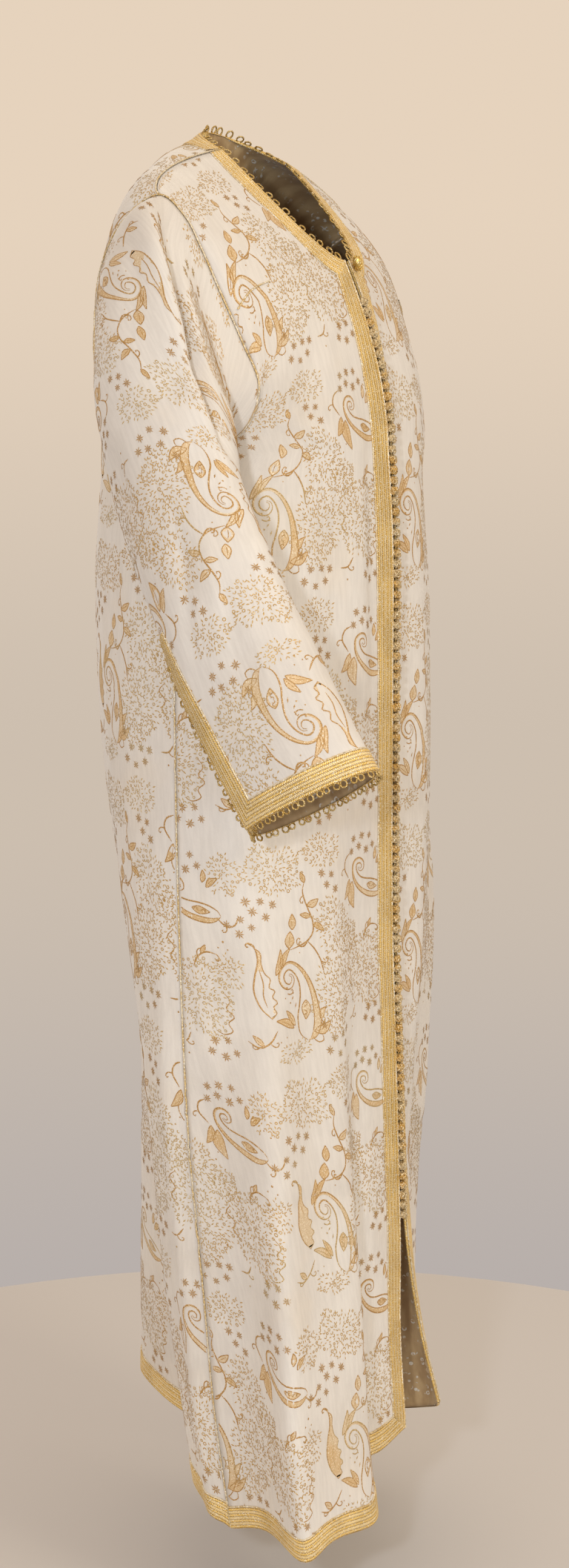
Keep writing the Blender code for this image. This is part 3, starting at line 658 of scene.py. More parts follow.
# Metal threads: scale of the patches and of the grain, where the patches change colour, both
# colours, painted highlight and painted shade colours on the grain, their strengths, relief, metallic and
# roughness
threadLooks = {
    "figure_thread": (9.0, 850.0, 0.54, 0.68, (0.460, 0.255, 0.075), (0.500, 0.350, 0.150),
        (1.000, 0.920, 0.720), (0.200, 0.110, 0.035), 0.55, 0.6, 0.0003, 0.2, 0.42),
    "figure_fill": (20.0, 700.0, 0.4, 0.62, (0.660, 0.465, 0.245), (0.700, 0.560, 0.380),
        (0.980, 0.920, 0.780), (0.480, 0.320, 0.150), 0.6, 0.5, 0.0002, 0.15, 0.48),
    "cloud_thread": (6.0, 900.0, 0.46, 0.66, (0.540, 0.330, 0.100), (0.560, 0.400, 0.180),
        (1.000, 0.900, 0.620), (0.300, 0.170, 0.055), 0.6, 0.5, 0.0003, 0.2, 0.4),
    "piping_thread": (40.0, 520.0, 0.42, 0.58, (0.680, 0.500, 0.230), (0.760, 0.660, 0.480),
        (1.000, 0.970, 0.880), (0.250, 0.165, 0.075), 0.9, 0.6, 0.0006, 0.3, 0.36),
    "picot_thread": (60.0, 800.0, 0.4, 0.6, (0.470, 0.290, 0.065), (0.600, 0.420, 0.150),
        (1.000, 0.900, 0.600), (0.110, 0.060, 0.015), 0.8, 0.8, 0.0005, 0.5, 0.36),
    "knot_thread": (55.0, 750.0, 0.36, 0.6, (0.600, 0.370, 0.100), (0.600, 0.470, 0.270),
        (1.000, 0.940, 0.780), (0.130, 0.070, 0.022), 0.9, 0.85, 0.0008, 0.35, 0.38),
    "button_thread": (60.0, 600.0, 0.35, 0.6, (0.660, 0.420, 0.090), (0.760, 0.560, 0.200),
        (1.000, 0.930, 0.660), (0.240, 0.130, 0.030), 0.9, 0.6, 0.0003, 0.6, 0.3),
}


# Metal thread: two tones in patches, with a painted highlight on the grain's raised specks and painted shade
# in its hollows
def thread(m, patch, grain, low, high, first, second, highlightColour, shadeColour, glint, depth, relief, metallic, rough):
    body = m.place("Object")
    fine = m.noise(body, grain, 1.0)
    colour = m.ramp(m.noise(body, patch), (low, first), (high, second))
    # painted highlight: the grain's highest specks are lightened towards the highlight colour, as glints
    colour = m.mix(m.times(m.ramp(fine, (0.56, 0), (0.70, 1)), glint), colour, highlightColour)
    # painted shade: the grain's lowest specks, the hollows of its bump, are darkened towards the shade colour
    colour = m.mix(m.times(m.ramp(fine, (0.30, 1), (0.42, 0)), depth), colour, shadeColour)
    return {"Base Color": colour, "Normal": m.bump(fine, relief), "Metallic": metallic, "Roughness": rough}


braidLook = {
    "ropes": 7.0,  # ropes side by side across the braid
    "rib": 0.0019,  # metres from rib to rib along it
    # painted light on the ridges, a middle tone, and painted shade in the grooves
    "light": (1.000, 0.720, 0.220),
    "middle": (0.920, 0.600, 0.150),
    "shadeColour": (0.330, 0.175, 0.030),
    "pale": (1.000, 0.860, 0.560),  # every other rope
    # colour of the painted glints
    "paintedGlint": (1.000, 0.960, 0.820),
}


# Flat woven braid: ropes whose ribs slant to and fro, with painted shade in the grooves and painted light on
# the ridges. Its map runs along in metres and 0 to 1 across
def woven(m):
    split = m.node("SeparateXYZ", {0: m.place("UV")})
    along, body = split.outputs[0], m.place("Object")
    ropes = m.times(split.outputs[1], braidLook["ropes"])
    local = m.math("FRACT", ropes)
    odd = m.math("GREATER_THAN", m.math("MODULO", ropes, 2.0), 1.0)
    slant = m.times(m.times(local, m.math("MULTIPLY_ADD", odd, 2.0, -1.0)), 0.42)
    turn = m.math("ADD", m.math("DIVIDE", along, braidLook["rib"]), slant)
    rib = m.math("SINE", m.times(turn, 2 * math.pi))
    rope = m.math("SINE", m.times(local, math.pi))
    height = m.math("ADD", m.times(rib, 0.30), m.times(rope, 0.70))
    # painted shade and painted light: the colour runs from shade in the grooves to lit gold on the ridges, by
    # the bump's height
    colour = m.ramp(height, (0.10, braidLook["shadeColour"]), (0.45, braidLook["middle"]),
                    (0.85, braidLook["light"]))
    colour = m.mix(m.times(odd, 0.42), colour, braidLook["pale"])
    wear = m.ramp(m.noise(body, 30.0, 3.0), (0.3, (0.80, 0.78, 0.74)), (0.7, 1))
    colour = m.mix(1.0, colour, wear, "MULTIPLY")
    # painted glint: fine specks of noise turned near-white over the braid
    paintedGlint = m.ramp(m.noise(body, 950.0, 1.0), (0.54, 0), (0.66, 1))
    return {"Base Color": m.mix(m.times(paintedGlint, 0.75), colour, braidLook["paintedGlint"]),
            "Normal": m.bump(height, 0.0006), "Metallic": 0.22, "Roughness": 0.36}


ivorySatin = newMaterial("ivory_satin", satin)
brocadeReverse = newMaterial("brocade_reverse", reverse)
wovenBraid = newMaterial("gold_braid_woven", woven)
threads = {name: newMaterial(name, thread, *look) for name, look in threadLooks.items()}
print("materials mixed")


# A grid added as a primitive, shaped on rows of points and mapped with its flat measures
def gridPiece(points, flat, name):
    rows, columns = points.shape[:2]
    bpy.ops.mesh.primitive_grid_add(x_subdivisions=columns - 1, y_subdivisions=rows - 1, size=1.0)
    piece = bpy.context.object
    data = piece.data
    piece.name = data.name = name
    data.vertices.foreach_set("co", points.reshape(-1))
    corners = np.empty(len(data.loops), int)
    data.loops.foreach_get("vertex_index", corners)
    data.uv_layers[0].data.foreach_set("uv", np.stack(flat, axis=-1).reshape(-1, 2)[corners].reshape(-1))
    data.update()
    return piece


# One piece of several, with doubled points merged where that is asked for
def joinPieces(pieces, name, merge=None):
    selectOnly(*pieces)
    if len(pieces) > 1:
        bpy.ops.object.join()
    joined = bpy.context.object
    joined.name = joined.data.name = name
    if merge:
        bpy.ops.object.mode_set(mode="EDIT")
        bpy.ops.mesh.select_all(action="SELECT")
        bpy.ops.mesh.remove_doubles(threshold=merge)
        bpy.ops.object.mode_set(mode="OBJECT")
    return joined


# Each piece rides the body and may stand in for a solid, whose part is hidden
def enter(piece, node=None):
    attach(piece, "root")
    if node:
        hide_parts(node)


# Cloth pieces; the back is two halves joined at its middle
centre = panels["backLeft"].points[:, 0].copy()
shared = np.linalg.norm(centre - panels["backRight"].points[:, 0], axis=1) < mesh["halvesMeet"]
panels["backRight"].points[shared, 0] = centre[shared]
clothNames = {
    "front_right": ("frontRight",), "front_left": ("frontLeft",),
    "sleeve_right": ("sleeveRight",), "sleeve_left": ("sleeveLeft",), "back": ("backRight", "backLeft"),
}
for node, names in clothNames.items():
    cutPanels = [panels[name] for name in names]
    grids = []
    for panel in cutPanels:
        across, down = panel.flat()
        across = -across if panel.name == "backRight" else across
        grids.append(gridPiece(panel.points, (across, -down), "cut"))
        if panel.outwards < 0:
            grids[-1].data.flip_normals()
    pieceName = "back" if node == "back" else names[0]
    piece = joinPieces(grids, pieceName + "Cloth", None if node.startswith("front") else mesh["merge"])
    for material in (ivorySatin, brocadeReverse):
        piece.data.materials.append(material)
    shell = piece.modifiers.new("wall", "SOLIDIFY")
    shell.thickness, shell.offset = mesh["wall"], -1.0
    shell.material_offset, shell.material_offset_rim = 1, 0
    bpy.ops.object.modifier_apply(modifier="wall")
    bpy.ops.object.shade_smooth()
    enter(piece, node)
print("cloth pieces made")


# Woven figures: one repeat of the brocade, drawn flat in millimetres, laid later on every panel

figures = {
    "repeat": (0.230, 0.240),  # metres across and down
    "line": 0.86,  # half width of a main line, mm
    "fine": 0.62,  # half width of a fine line, mm
    "lift": 0.34,  # height of a line's middle, mm
    "rim": 0.06,
    "fill": 0.13,  # height of the pale fills, mm
    "step": 3.2,  # along a line, mm
    "starSize": 5.6,
    "apart": 3.5,  # between the marks of a cloud, mm
    "seed": 11,
    "tail": 0.18,  # share of a line over which it thins
    "margin": 0.0012,  # metres of cloth kept plain along its edges
}


# Smooth curve through given points, evenly stepped
def curveThrough(places, step):
    places = np.asarray(places, float)
    ends = np.vstack([2 * places[0] - places[1], places, 2 * places[-1] - places[-2]])
    fine = []
    for k in range(1, len(ends) - 2):
        before, a, b, after = ends[k - 1:k + 3]
        for t in np.linspace(0, 1, 9)[:-1]:
            fine.append(0.5 * (2 * a + (b - before) * t + (2 * before - 5 * a + 4 * b - after) * t * t
                               + (3 * a - before - 3 * b + after) * t ** 3))
    fine.append(ends[-2])
    fine = np.array(fine)
    gone = distances(fine[:, :2])
    count = max(3, int(round(gone[-1] / step)) + 1)
    at = np.linspace(0, gone[-1], count)
    return np.stack([np.interp(at, gone, fine[:, k]) for k in range(fine.shape[1])], axis=1)


def resample(line, count):
    at = np.linspace(0, len(line) - 1, count)
    return np.stack([np.interp(at, np.arange(len(line)), line[:, k]) for k in range(2)], axis=1)


def sideways(line):
    run = unit(np.gradient(line[:, :2], axis=0))
    return np.stack([-run[:, 1], run[:, 0]], axis=1)


class Drawing:
    def __init__(self):
        self.points, self.faces, self.kinds = [], [], []
        self.random = np.random.default_rng(figures["seed"])

    def add(self, points, faces, kind):
        base = len(self.points)
        self.points.extend(points)
        self.faces.extend([tuple(base + k for k in face) for face in faces])
        self.kinds.extend([kind] * len(faces))

    # Quads between points that come in pairs
    def pairs(self, points, kind):
        faces = [(2 * k, 2 * k + 1, 2 * k + 3, 2 * k + 2) for k in range(len(points) // 2 - 1)]
        self.add(points, faces, kind)

    # Low ring with a raised middle
    def fan(self, x, y, ring, kind=0):
        count = len(ring)
        points = [(a, b, figures["rim"]) for a, b in ring] + [(x, y, figures["lift"])]
        self.add(points, [(k, (k + 1) % count, count) for k in range(count)], kind)

    # Ribbon with a raised middle that thins to both ends
    def stroke(self, places, half=None, ends=(0.35, 0.35), step=None):
        line = curveThrough(places, step or figures["step"])
        share = np.linspace(0, 1, len(line)) / figures["tail"]
        taper = np.minimum(ends[0] + (1 - ends[0]) * np.clip(share, 0, 1),
                           ends[1] + (1 - ends[1]) * np.clip(share[::-1], 0, 1))
        out = sideways(line) * ((half or figures["line"]) * taper)[:, None]
        points, faces = [], []
        for k, ((x, y), (a, b)) in enumerate(zip(line[:, :2], out)):
            points += [(x + a, y + b, figures["rim"]), (x, y, figures["lift"]),
                       (x - a, y - b, figures["rim"])]
            low = 3 * k
            faces += [(low, low + 1, low + 4, low + 3), (low + 1, low + 2, low + 5, low + 4)]
        self.add(points, faces[:-2], 0)

    # Pale band between two lines of equal count
    def band(self, left, right):
        self.pairs([(x, y, figures["fill"]) for both in zip(left, right) for x, y in both], 1)

    def dash(self, x, y, angle, length, half, kind=0):
        c, s = math.cos(angle), math.sin(angle)
        tips = ((length / 2, 0), (0, half), (-length / 2, 0), (0, -half))
        self.fan(x, y, [(x + c * a - s * b, y + s * a + c * b) for a, b in tips], kind)

    # Part or all of a ring
    def arc(self, x, y, radius, start, sweep, half, parts, kind=0):
        points = []
        for k in range(parts + 1):
            turn = start + sweep * k / parts
            points += [(x + math.cos(turn) * reach, y + math.sin(turn) * reach, figures["lift"] * 0.7)
                       for reach in (radius + half, radius - half)]
        self.pairs(points, kind)

    def dot(self, x, y, radius):
        turns = [k * math.pi / 3 for k in range(6)]
        self.fan(x, y, [(x + radius * math.cos(turn), y + radius * math.sin(turn)) for turn in turns])

    # Star of eight narrow rays
    def star(self, x, y, size, turn):
        points, faces = [(x, y, figures["lift"])], []
        for k in range(8):
            ray = turn + k * math.pi / 4
            c, s = math.cos(ray), math.sin(ray)
            reach = size * (1.0 if k % 2 == 0 else 0.86)
            for away, off in ((0.50, 0.125), (1.0, 0.0), (0.50, -0.125)):
                a, b = reach * away, size * off
                points.append((x + a * c - b * s, y + a * s + b * c,
                               figures["lift"] * (0.8 if away < 1 else 0.3)))
            faces.append((0, 3 * k + 3, 3 * k + 2, 3 * k + 1))
        self.add(points, faces, 0)

    # Leaf from its foot: outline, pale fill and a vein
    def leaf(self, x, y, angle, length, half, bend=0.0, filled=True, vein=True):
        c, s = math.cos(angle), math.sin(angle)

        def put(along, off):
            off += bend * math.sin(math.pi * along / length)
            return x + c * along - s * off, y + s * along + c * off

        left, right = ([put(length * a, sign * half * b) for a, b in leafShape] for sign in (1, -1))
        a, b = curveThrough(left, 3.0), curveThrough(right, 3.0)
        if filled:
            count = min(len(a), len(b))
            self.band(resample(a, count), resample(b, count))
        for side in (left, right):
            self.stroke(side, figures["fine"], (1, 1))
        if vein:
            self.stroke([put(length * 0.15, 0), put(length * 0.5, half * 0.15), put(length * 0.78, 0)],
                        figures["fine"] * 0.7)

    # Spiral hook from a point, first heading that way, hand 1 turns left and -1 right
    def hook(self, x, y, angle, size, hand, half=None, turns=0.9, count=9):
        places, here, heading = [(x, y)], np.array([x, y], float), angle
        for k in range(count):
            heading += hand * turns * 2 * math.pi / count * (0.35 + 1.3 * k / count)
            ahead = np.array([math.cos(heading), math.sin(heading)])
            here = here + size * 0.42 * (1.15 - 0.85 * k / count) * ahead
            places.append(tuple(here))
        self.stroke(places, half, (1.0, 0.9), 2.4)

    # Paisley: a drop with a curled tail, from a spine and half widths
    def paisley(self, x, y, turn, scale, hand, spine):
        spine = np.asarray(spine, float)
        line = curveThrough(spine * scale, figures["step"])
        side = sideways(line)
        c, s = math.cos(turn), math.sin(turn)

        def put(offset):
            flat = line[:, :2] + side * (line[:, 2] * offset)[:, None]
            px, py = flat[:, 0] * hand, flat[:, 1]
            return np.stack([x + c * px - s * py, y + s * px + c * py], axis=1)

        outer, inner, rim = put(-1.0), put(1.0), put(-0.45)
        count = len(line)
        filled = int(count * 0.86)
        self.band(outer[:filled], rim[:filled])
        self.stroke(outer)
        self.stroke(inner)
        self.stroke(rim[1:int(count * 0.62)], figures["fine"], (0.6, 0.3))
        # drop in the head with scribbles
        headAt = max(2, int(count * 0.20))
        centre = put(0.28)
        foot = centre[min(count - 1, headAt + 4)]
        axis = centre[headAt - 2] - foot
        lean = math.atan2(axis[1], axis[0])
        long = float(np.linalg.norm(axis)) * 1.05
        self.leaf(foot[0], foot[1], lean, long, line[headAt, 2] * 0.40, 0.6 * hand, True, False)
        for k in range(5):
            at = foot + axis * (0.2 + 0.16 * k)
            self.arc(at[0], at[1], 1.5 * scale, lean + k * 1.9, 3.6, 0.42, 4)

    # Cloud of dashes, c-shapes and rings inside an oval; marks lean around its middle
    def cloud(self, x, y, width, height, turn, count, rings):
        placed = []
        for _ in range(count * 12):
            if len(placed) >= count:
                break
            a, b = self.random.uniform(-1, 1, 2)
            edge = 1.0 + 0.16 * math.sin(5 * math.atan2(b, a) + x)
            if a * a + b * b > edge * self.random.uniform(0.45, 1.0) ** 0.5:
                continue
            u, v = a * width / 2, b * height / 2
            px = x + u * math.cos(turn) - v * math.sin(turn)
            py = y + u * math.sin(turn) + v * math.cos(turn)
            if any((px - q) ** 2 + (py - r) ** 2 < figures["apart"] ** 2 for q, r in placed):
                continue
            placed.append((px, py))
            around = math.atan2(py - y, px - x)
            pick = self.random.uniform()
            size = self.random.uniform(0.85, 1.25)
            if pick < rings * 0.5:
                self.arc(px, py, 1.35 * size, 0, 2 * math.pi, 0.46, 6, 2)
            elif pick < rings + 0.25:
                self.arc(px, py, 1.6 * size, around + self.random.uniform(0.3, 1.2), 3.7, 0.48, 4, 2)
            else:
                self.dash(px, py, around + self.random.uniform(-0.5, 0.5), 4.2 * size, 0.70 * size, 2)


# Half width of a leaf at shares of its length
leafShape = ((0.0, 0.0), (0.16, 0.62), (0.38, 1.0), (0.64, 0.80), (0.86, 0.36), (1.0, 0.0))
# Spines of both paisleys: place and half width
standingSpine = (
    (3, 46, 0.6), (2, 43, 7.5), (0, 36, 12.4), (-3, 24, 14.4), (-5, 12, 12), (-6, -2, 9),
    (-4, -15, 6.6), (2, -27, 5), (11, -34, 4), (20, -32, 3.6), (25, -24, 3.3), (22, -16, 2.9),
    (15, -13, 2.4), (10, -17, 1.8), (10, -23, 1.2), (14, -25, 0.7),
)
lyingSpine = (
    (3, 41, 0.5), (2, 37, 5.5), (-1, 28, 9.6), (-4, 15, 10.5), (-6, 2, 9), (-5, -11, 6.5),
    (1, -22, 4.6), (10, -27, 3.6), (17, -23, 3.1), (18, -15, 2.6), (12, -11, 2.1), (8, -15, 1.4),
    (10, -19, 0.8),
)
starGroups = (
    ((118, 92), (131, 99), (143, 90), (128, 84), (115, 76), (102, 82), (106, 66), (121, 66), (93, 70)),
    ((16, 226), (30, 231), (44, 226), (21, 213), (36, 214), (47, 199), (9, 214)),
    ((168, 30), (181, 34), (194, 29), (207, 33), (175, 19), (189, 18), (203, 20)),
    ((159, 222), (172, 227), (186, 222), (166, 210), (180, 211)),
    ((12, 62), (24, 56), (17, 46), (30, 44)),
)
looseDots = (
    (86, 172, 1.1), (92, 166, 0.8), (80, 163, 0.9), (88, 156, 1.2), (60, 118, 1.1), (66, 124, 0.8),
    (101, 214, 1.0), (107, 208, 0.8), (98, 205, 0.8), (150, 108, 1.3), (156, 114, 1.0), (146, 116, 0.9),
    (218, 98, 1.0), (224, 92, 0.8), (213, 90, 0.9), (140, 60, 1.0), (146, 54, 0.8), (214, 226, 1.1),
    (55, 182, 0.8), (51, 176, 0.8), (48, 170, 0.8), (152, 140, 1.0), (158, 134, 0.9), (4, 190, 1.2),
)


def drawRepeat():
    d = Drawing()
    fine, blunt = figures["fine"], (0.5, 0.5)

    def leaves(*rows):
        for x, y, degrees, *shape in rows:
            d.leaf(x, y, math.radians(degrees), *shape)

    # the standing paisley with its leaves
    d.paisley(68, 168, 0.04, 1.0, 1, standingSpine)
    leaves((60, 206, 205, 24, 4.6, -3.0), (50, 194, 238, 15, 3.0, 2.0, True, False),
           (84, 196, -62, 20, 3.2, -1.0), (86, 198, -28, 25, 4.0, -2.5))
    d.stroke([(64, 211), (57, 217), (50, 215), (51, 209)], fine)
    d.hook(88, 162, 2.4, 5.0, 1, fine)
    d.dash(82, 168, 0.9, 5, 0.8)
    d.dash(79, 176, 1.2, 6, 0.8)
    # below its curl: two long leaves, a bud and a drop
    leaves((100, 141, -112, 27, 3.6, -2.5), (92, 136, -128, 24, 3.2, 2.5), (79, 117, -104, 17, 6.0),
           (72, 99, -96, 16, 4.4))
    # the toothed leaf
    spine = [(112, 184), (122, 172), (126, 156), (122, 140), (117, 126), (118, 113), (125, 108)]
    d.stroke(spine)
    teeth = [(112, 183), (106, 178), (109, 172), (103, 168), (108, 162), (104, 156), (110, 152), (107, 144),
             (112, 138), (114, 128), (113, 118), (118, 113)]
    d.stroke(teeth, fine, (1, 1), 2.6)
    d.band(resample(curveThrough(spine[:6], 4), 16), resample(curveThrough(teeth, 4), 16))
    d.stroke([(115, 172), (117, 160), (115, 148), (117, 134)], fine)
    d.hook(118, 112, -1.2, 5.4, 1)
    # sprig above it
    d.stroke([(109, 196), (119, 207), (132, 212), (143, 207)])
    d.hook(119, 207, 1.9, 5.6, 1, fine)
    d.hook(132, 212, 0.9, 4.4, -1, fine)
    leaves((126, 210, -42, 14, 3.0))
    # vine below on the left
    d.stroke([(39, 148), (41, 134), (47, 122), (55, 113)])
    d.stroke([(77, 119), (66, 117), (55, 113), (47, 104), (46, 92), (51, 78), (55, 63), (52, 52)])
    d.hook(55, 113, 1.2, 6.6, -1)
    d.hook(41, 134, 2.4, 5.6, 1, fine)
    d.hook(66, 117, -0.7, 5.0, -1, fine)
    leaves((46, 96, 150, 15, 3.4, 1.5), (48, 88, -12, 13, 2.8), (51, 77, 205, 16, 3.6, -1.5))
    d.hook(54, 66, 0.2, 5.2, 1, fine)
    leaves((52, 53, -70, 12, 2.8))
    # the lying paisley with a broad leaf and stem
    d.paisley(183, 68, math.radians(64), 0.92, -1, lyingSpine)
    leaves((206, 66, 96, 30, 6.6, -4.0), (212, 62, 60, 22, 4.4, 3.0))
    d.stroke([(214, 60), (222, 48), (219, 38), (210, 34)])
    d.hook(222, 48, -0.4, 5.0, 1, fine)
    leaves((160, 52, 215, 16, 3.2, 1.5), (164, 47, 262, 13, 2.8, -1.0, True, False))
    d.stroke([(152, 84), (143, 92), (134, 90), (130, 82)])
    d.hook(143, 92, 1.8, 4.6, -1, fine)
    # waving line round the big cloud, with curls
    d.stroke([(160, 160), (154, 169), (160, 177), (153, 185), (161, 192), (158, 200), (168, 204), (176, 200)],
             fine, blunt, 2.6)
    d.stroke([(213, 180), (221, 172), (216, 163), (224, 154), (217, 146)], fine, blunt, 2.6)
    d.stroke([(186, 134), (180, 124), (170, 119), (160, 121)])
    d.hook(180, 124, -1.2, 5.8, -1, fine)
    d.hook(160, 121, 2.7, 4.6, -1, fine)
    leaves((176, 121, 236, 11, 2.4, 0.0, True, False))
    d.stroke([(206, 204), (213, 213), (223, 214)])
    d.hook(213, 213, 1.9, 5.0, 1, fine)
    for cloud in ((188, 166, 76, 90, 0.2, 210, 0.34), (24, 170, 66, 88, -0.3, 190, 0.36),
                  (18, 100, 54, 66, 0.4, 110, 0.30), (88, 36, 76, 54, -0.2, 140, 0.32),
                  (216, 122, 38, 38, 0.0, 50, 0.5), (28, 20, 52, 38, 0.2, 66, 0.3),
                  (142, 38, 38, 46, 0.1, 56, 0.3), (148, 138, 36, 40, 0.1, 50, 0.3),
                  (88, 222, 50, 26, 0.1, 44, 0.3)):
        d.cloud(*cloud)
    for k, (x, y) in enumerate([place for group in starGroups for place in group]):
        d.star(x, y, figures["starSize"] * (0.88 + 0.24 * ((k * 37) % 10) / 10), k * 0.7)
    for x, y, radius in looseDots:
        d.dot(x, y, radius)
    return d


# Where the repeat lies on each panel: way of across, turned over end, shift of its corner (right, up)
figureLays = {
    "frontRight": (-1, True, (-0.097, -0.737)),
    "frontLeft": (1, True, (-0.097, -0.737)),
    "backRight": (1, True, (0.060, -0.690)),
    "backLeft": (-1, True, (0.060, -0.690)),
    "sleeveRight": (1, False, (0.168, -0.500)),
    "sleeveLeft": (-1, False, (-0.310, -0.4700)),
}


def layRepeat(panel, drawing, way, turned, shift):
    flat = np.array(drawing.points)
    end = -1.0 if turned else 1.0
    wide, tall = figures["repeat"]
    ends = np.concatenate([panel.start, panel.start + panel.width]) * way
    counts = [np.arange(math.floor((low - corner) / size) - 1, math.ceil((high - corner) / size) + 2)
              for low, high, corner, size in ((ends.min(), ends.max(), shift[0], wide),
                                              (-panel.length, 0.0, shift[1], tall))]
    corners = np.full((len(drawing.faces), 4), -1)
    for k, face in enumerate(drawing.faces):
        corners[k, :len(face)] = face
    kinds = np.array(drawing.kinds)
    points, faces, picks, normals, base = [], [], [], [], 0
    for i in counts[0]:
        for j in counts[1]:
            right = end * flat[:, 0] / 1000 + shift[0] + i * wide
            up = end * flat[:, 1] / 1000 + shift[1] + j * tall
            spot, normal, inside = panel.place(way * right, -up, flat[:, 2] / 1000, figures["margin"])
            if not inside.any():
                continue
            whole = np.where(corners < 0, True, inside[corners]).all(axis=1)
            used = np.zeros(len(flat), bool)
            chosen = corners[whole]
            used[chosen[chosen >= 0]] = True
            renumber = np.cumsum(used) - 1 + base
            faces.append(np.where(chosen < 0, -1, renumber[chosen]))
            picks.append(kinds[whole])
            points.append(spot[used])
            normals.append(normal[used])
            base += int(used.sum())
    return np.concatenate(points), np.concatenate(normals), np.concatenate(faces), np.concatenate(picks)


# One mesh from arrays of points and faces; a face of three corners has -1 as its fourth
def meshFrom(name, points, faces, materials, picks=None, normals=None):
    if normals is not None:
        turn = np.cross(points[faces[:, 1]] - points[faces[:, 0]], points[faces[:, 2]] - points[faces[:, 0]])
        inward = (turn * normals[faces[:, 0]]).sum(axis=1) < 0
        triangle = faces[:, 3] < 0
        flipped = faces[:, ::-1].copy()
        flipped[triangle] = faces[triangle][:, [2, 1, 0, 3]]
        faces = np.where(inward[:, None], flipped, faces)
    data = bpy.data.meshes.new(name)
    data.from_pydata(points.tolist(), [], [face[:3] if face[3] < 0 else face for face in faces.tolist()])
    for material in materials:
        data.materials.append(material)
    if picks is not None:
        data.polygons.foreach_set("material_index", picks.astype(np.int32))
    piece = bpy.data.objects.new(name, data)
    bpy.context.scene.collection.objects.link(piece)
    data.shade_smooth()
    return piece


repeat = drawRepeat()
figureFaces = 0
for name, lay in figureLays.items():
    points, normals, faces, picks = layRepeat(panels[name], repeat, *lay)
    inks = [threads[kind] for kind in ("figure_thread", "figure_fill", "cloud_thread")]
    enter(meshFrom(name + "Figures", points, faces, inks, picks, normals))
    figureFaces += len(faces)
print("figures laid:", figureFaces, "faces")


# Braids, cords and loops, laid along the cloth's edges

def clothTree(*cutPanels):
    verts, faces = [], []
    for panel in cutPanels:
        rows, columns = panel.points.shape[:2]
        base = len(verts)
        verts.extend(map(tuple, panel.points.reshape(-1, 3)))
        for i in range(rows - 1):
            for j in range(columns - 1):
                a = base + i * columns + j
                face = (a, a + 1, a + columns + 1, a + columns)
                faces.append(face if panel.outwards > 0 else face[::-1])
    return BVHTree.FromPolygons(verts, faces)


def evenLine(line, step):
    line = np.asarray(line, float)
    gone = distances(line)
    at = np.linspace(0.0, gone[-1], max(3, int(round(gone[-1] / step)) + 1))
    return np.stack([np.interp(at, gone, line[:, k]) for k in range(3)], axis=1), at


braid = {
    "width": 0.022,
    "step": 0.0035,  # along
    "ropes": 7,
    "thick": 0.0009,
    "ridge": 0.00045,
    "clear": 0.0003,
    "cordAcross": 0.0009,  # past the braid's inner edge
    "cordLift": 0.0006,
    "past": 0.002,  # places kept beyond its inner edge
    "probe": 0.006,  # how far to look for the cloth beside an edge
}


# A stretch of the cloth's edge, with the places inward from it at even distances across the surface
class Edge:
    def __init__(self, tree, line, mitres=(0.0, 0.0)):
        self.line, self.along = evenLine(line, braid["step"])
        self.mitres, self.length = mitres, self.along[-1]
        self.offsets = np.linspace(0.0, braid["width"] + braid["past"], 2 * braid["ropes"] + 1)
        self.run = unit(np.gradient(self.line, axis=0))
        self.places = np.zeros((len(self.line), len(self.offsets), 3))
        self.normals = np.zeros_like(self.places)
        self.inward = np.zeros_like(self.line)
        votes = 0
        for k in range(0, len(self.line), max(1, len(self.line) // 15)):
            here = Vector(self.line[k])
            trial = tree.find_nearest(here)[1].cross(Vector(self.run[k])).normalized() * braid["probe"]
            nearer = tree.find_nearest(here + trial)[3] < tree.find_nearest(here - trial)[3]
            votes += 1 if nearer else -1
        hand = 1.0 if votes > 0 else -1.0
        for k in range(len(self.line)):
            here = Vector(self.line[k])
            normal = tree.find_nearest(here)[1]
            heading = (normal.cross(Vector(self.run[k])) * hand).normalized()
            self.inward[k] = heading
            self.places[k, 0], self.normals[k, 0] = here, normal
            for j in range(1, len(self.offsets)):
                ahead, normal = tree.find_nearest(here + heading * self.offsets[1])[:2]
                moved = ahead - here
                if moved.length > 1e-6:
                    heading = (heading * 0.3 + moved.normalized() * 0.7).normalized()
                heading = (heading - normal * heading.dot(normal)).normalized()
                here = ahead
                self.places[k, j], self.normals[k, j] = here, normal

    def at(self, along, offset, lift):
        offset, lift = np.broadcast_to(offset, along.shape), np.broadcast_to(lift, along.shape)
        a, b = (np.clip(np.interp(value, known, np.arange(len(known))), 0, len(known) - 1.0001)
                for value, known in ((along, self.along), (offset, self.offsets)))
        spot, normal = blendAt(a, b, self.places, self.normals)
        i = a.astype(int)
        a = (a - i)[..., None]
        out = self.inward[i] * (1 - a) + self.inward[i + 1] * a
        return spot + unit(normal) * lift[..., None] + out * np.minimum(offset, 0.0)[..., None]

    # Along-places of an even row at an offset, cut to the mitres at both ends
    def span(self, share, offset):
        kept = np.maximum(offset, 0.0)
        return self.mitres[0] * kept + (self.length - (self.mitres[0] + self.mitres[1]) * kept) * share


def cornerMitre(first, second):
    a = first[-12] - first[-1]
    b = second[11] - second[0]
    cosine = float(a @ b / np.linalg.norm(a) / np.linalg.norm(b))
    return 1.0 / math.tan(math.acos(cosine) / 2)


# Section of the braid: places across and heights, from under its outer edge to the inner one
braidSection = [(-0.0004, -0.0022), (-0.0011, -0.0008), (-0.0008, 0.0007)]
for k in range(2 * braid["ropes"] + 1):
    braidSection.append((braid["width"] * k / (2 * braid["ropes"]),
                         braid["clear"] + braid["thick"] + (braid["ridge"] if k % 2 else 0.0)))
braidSection.append((braid["width"] + 0.0003, -0.0003))


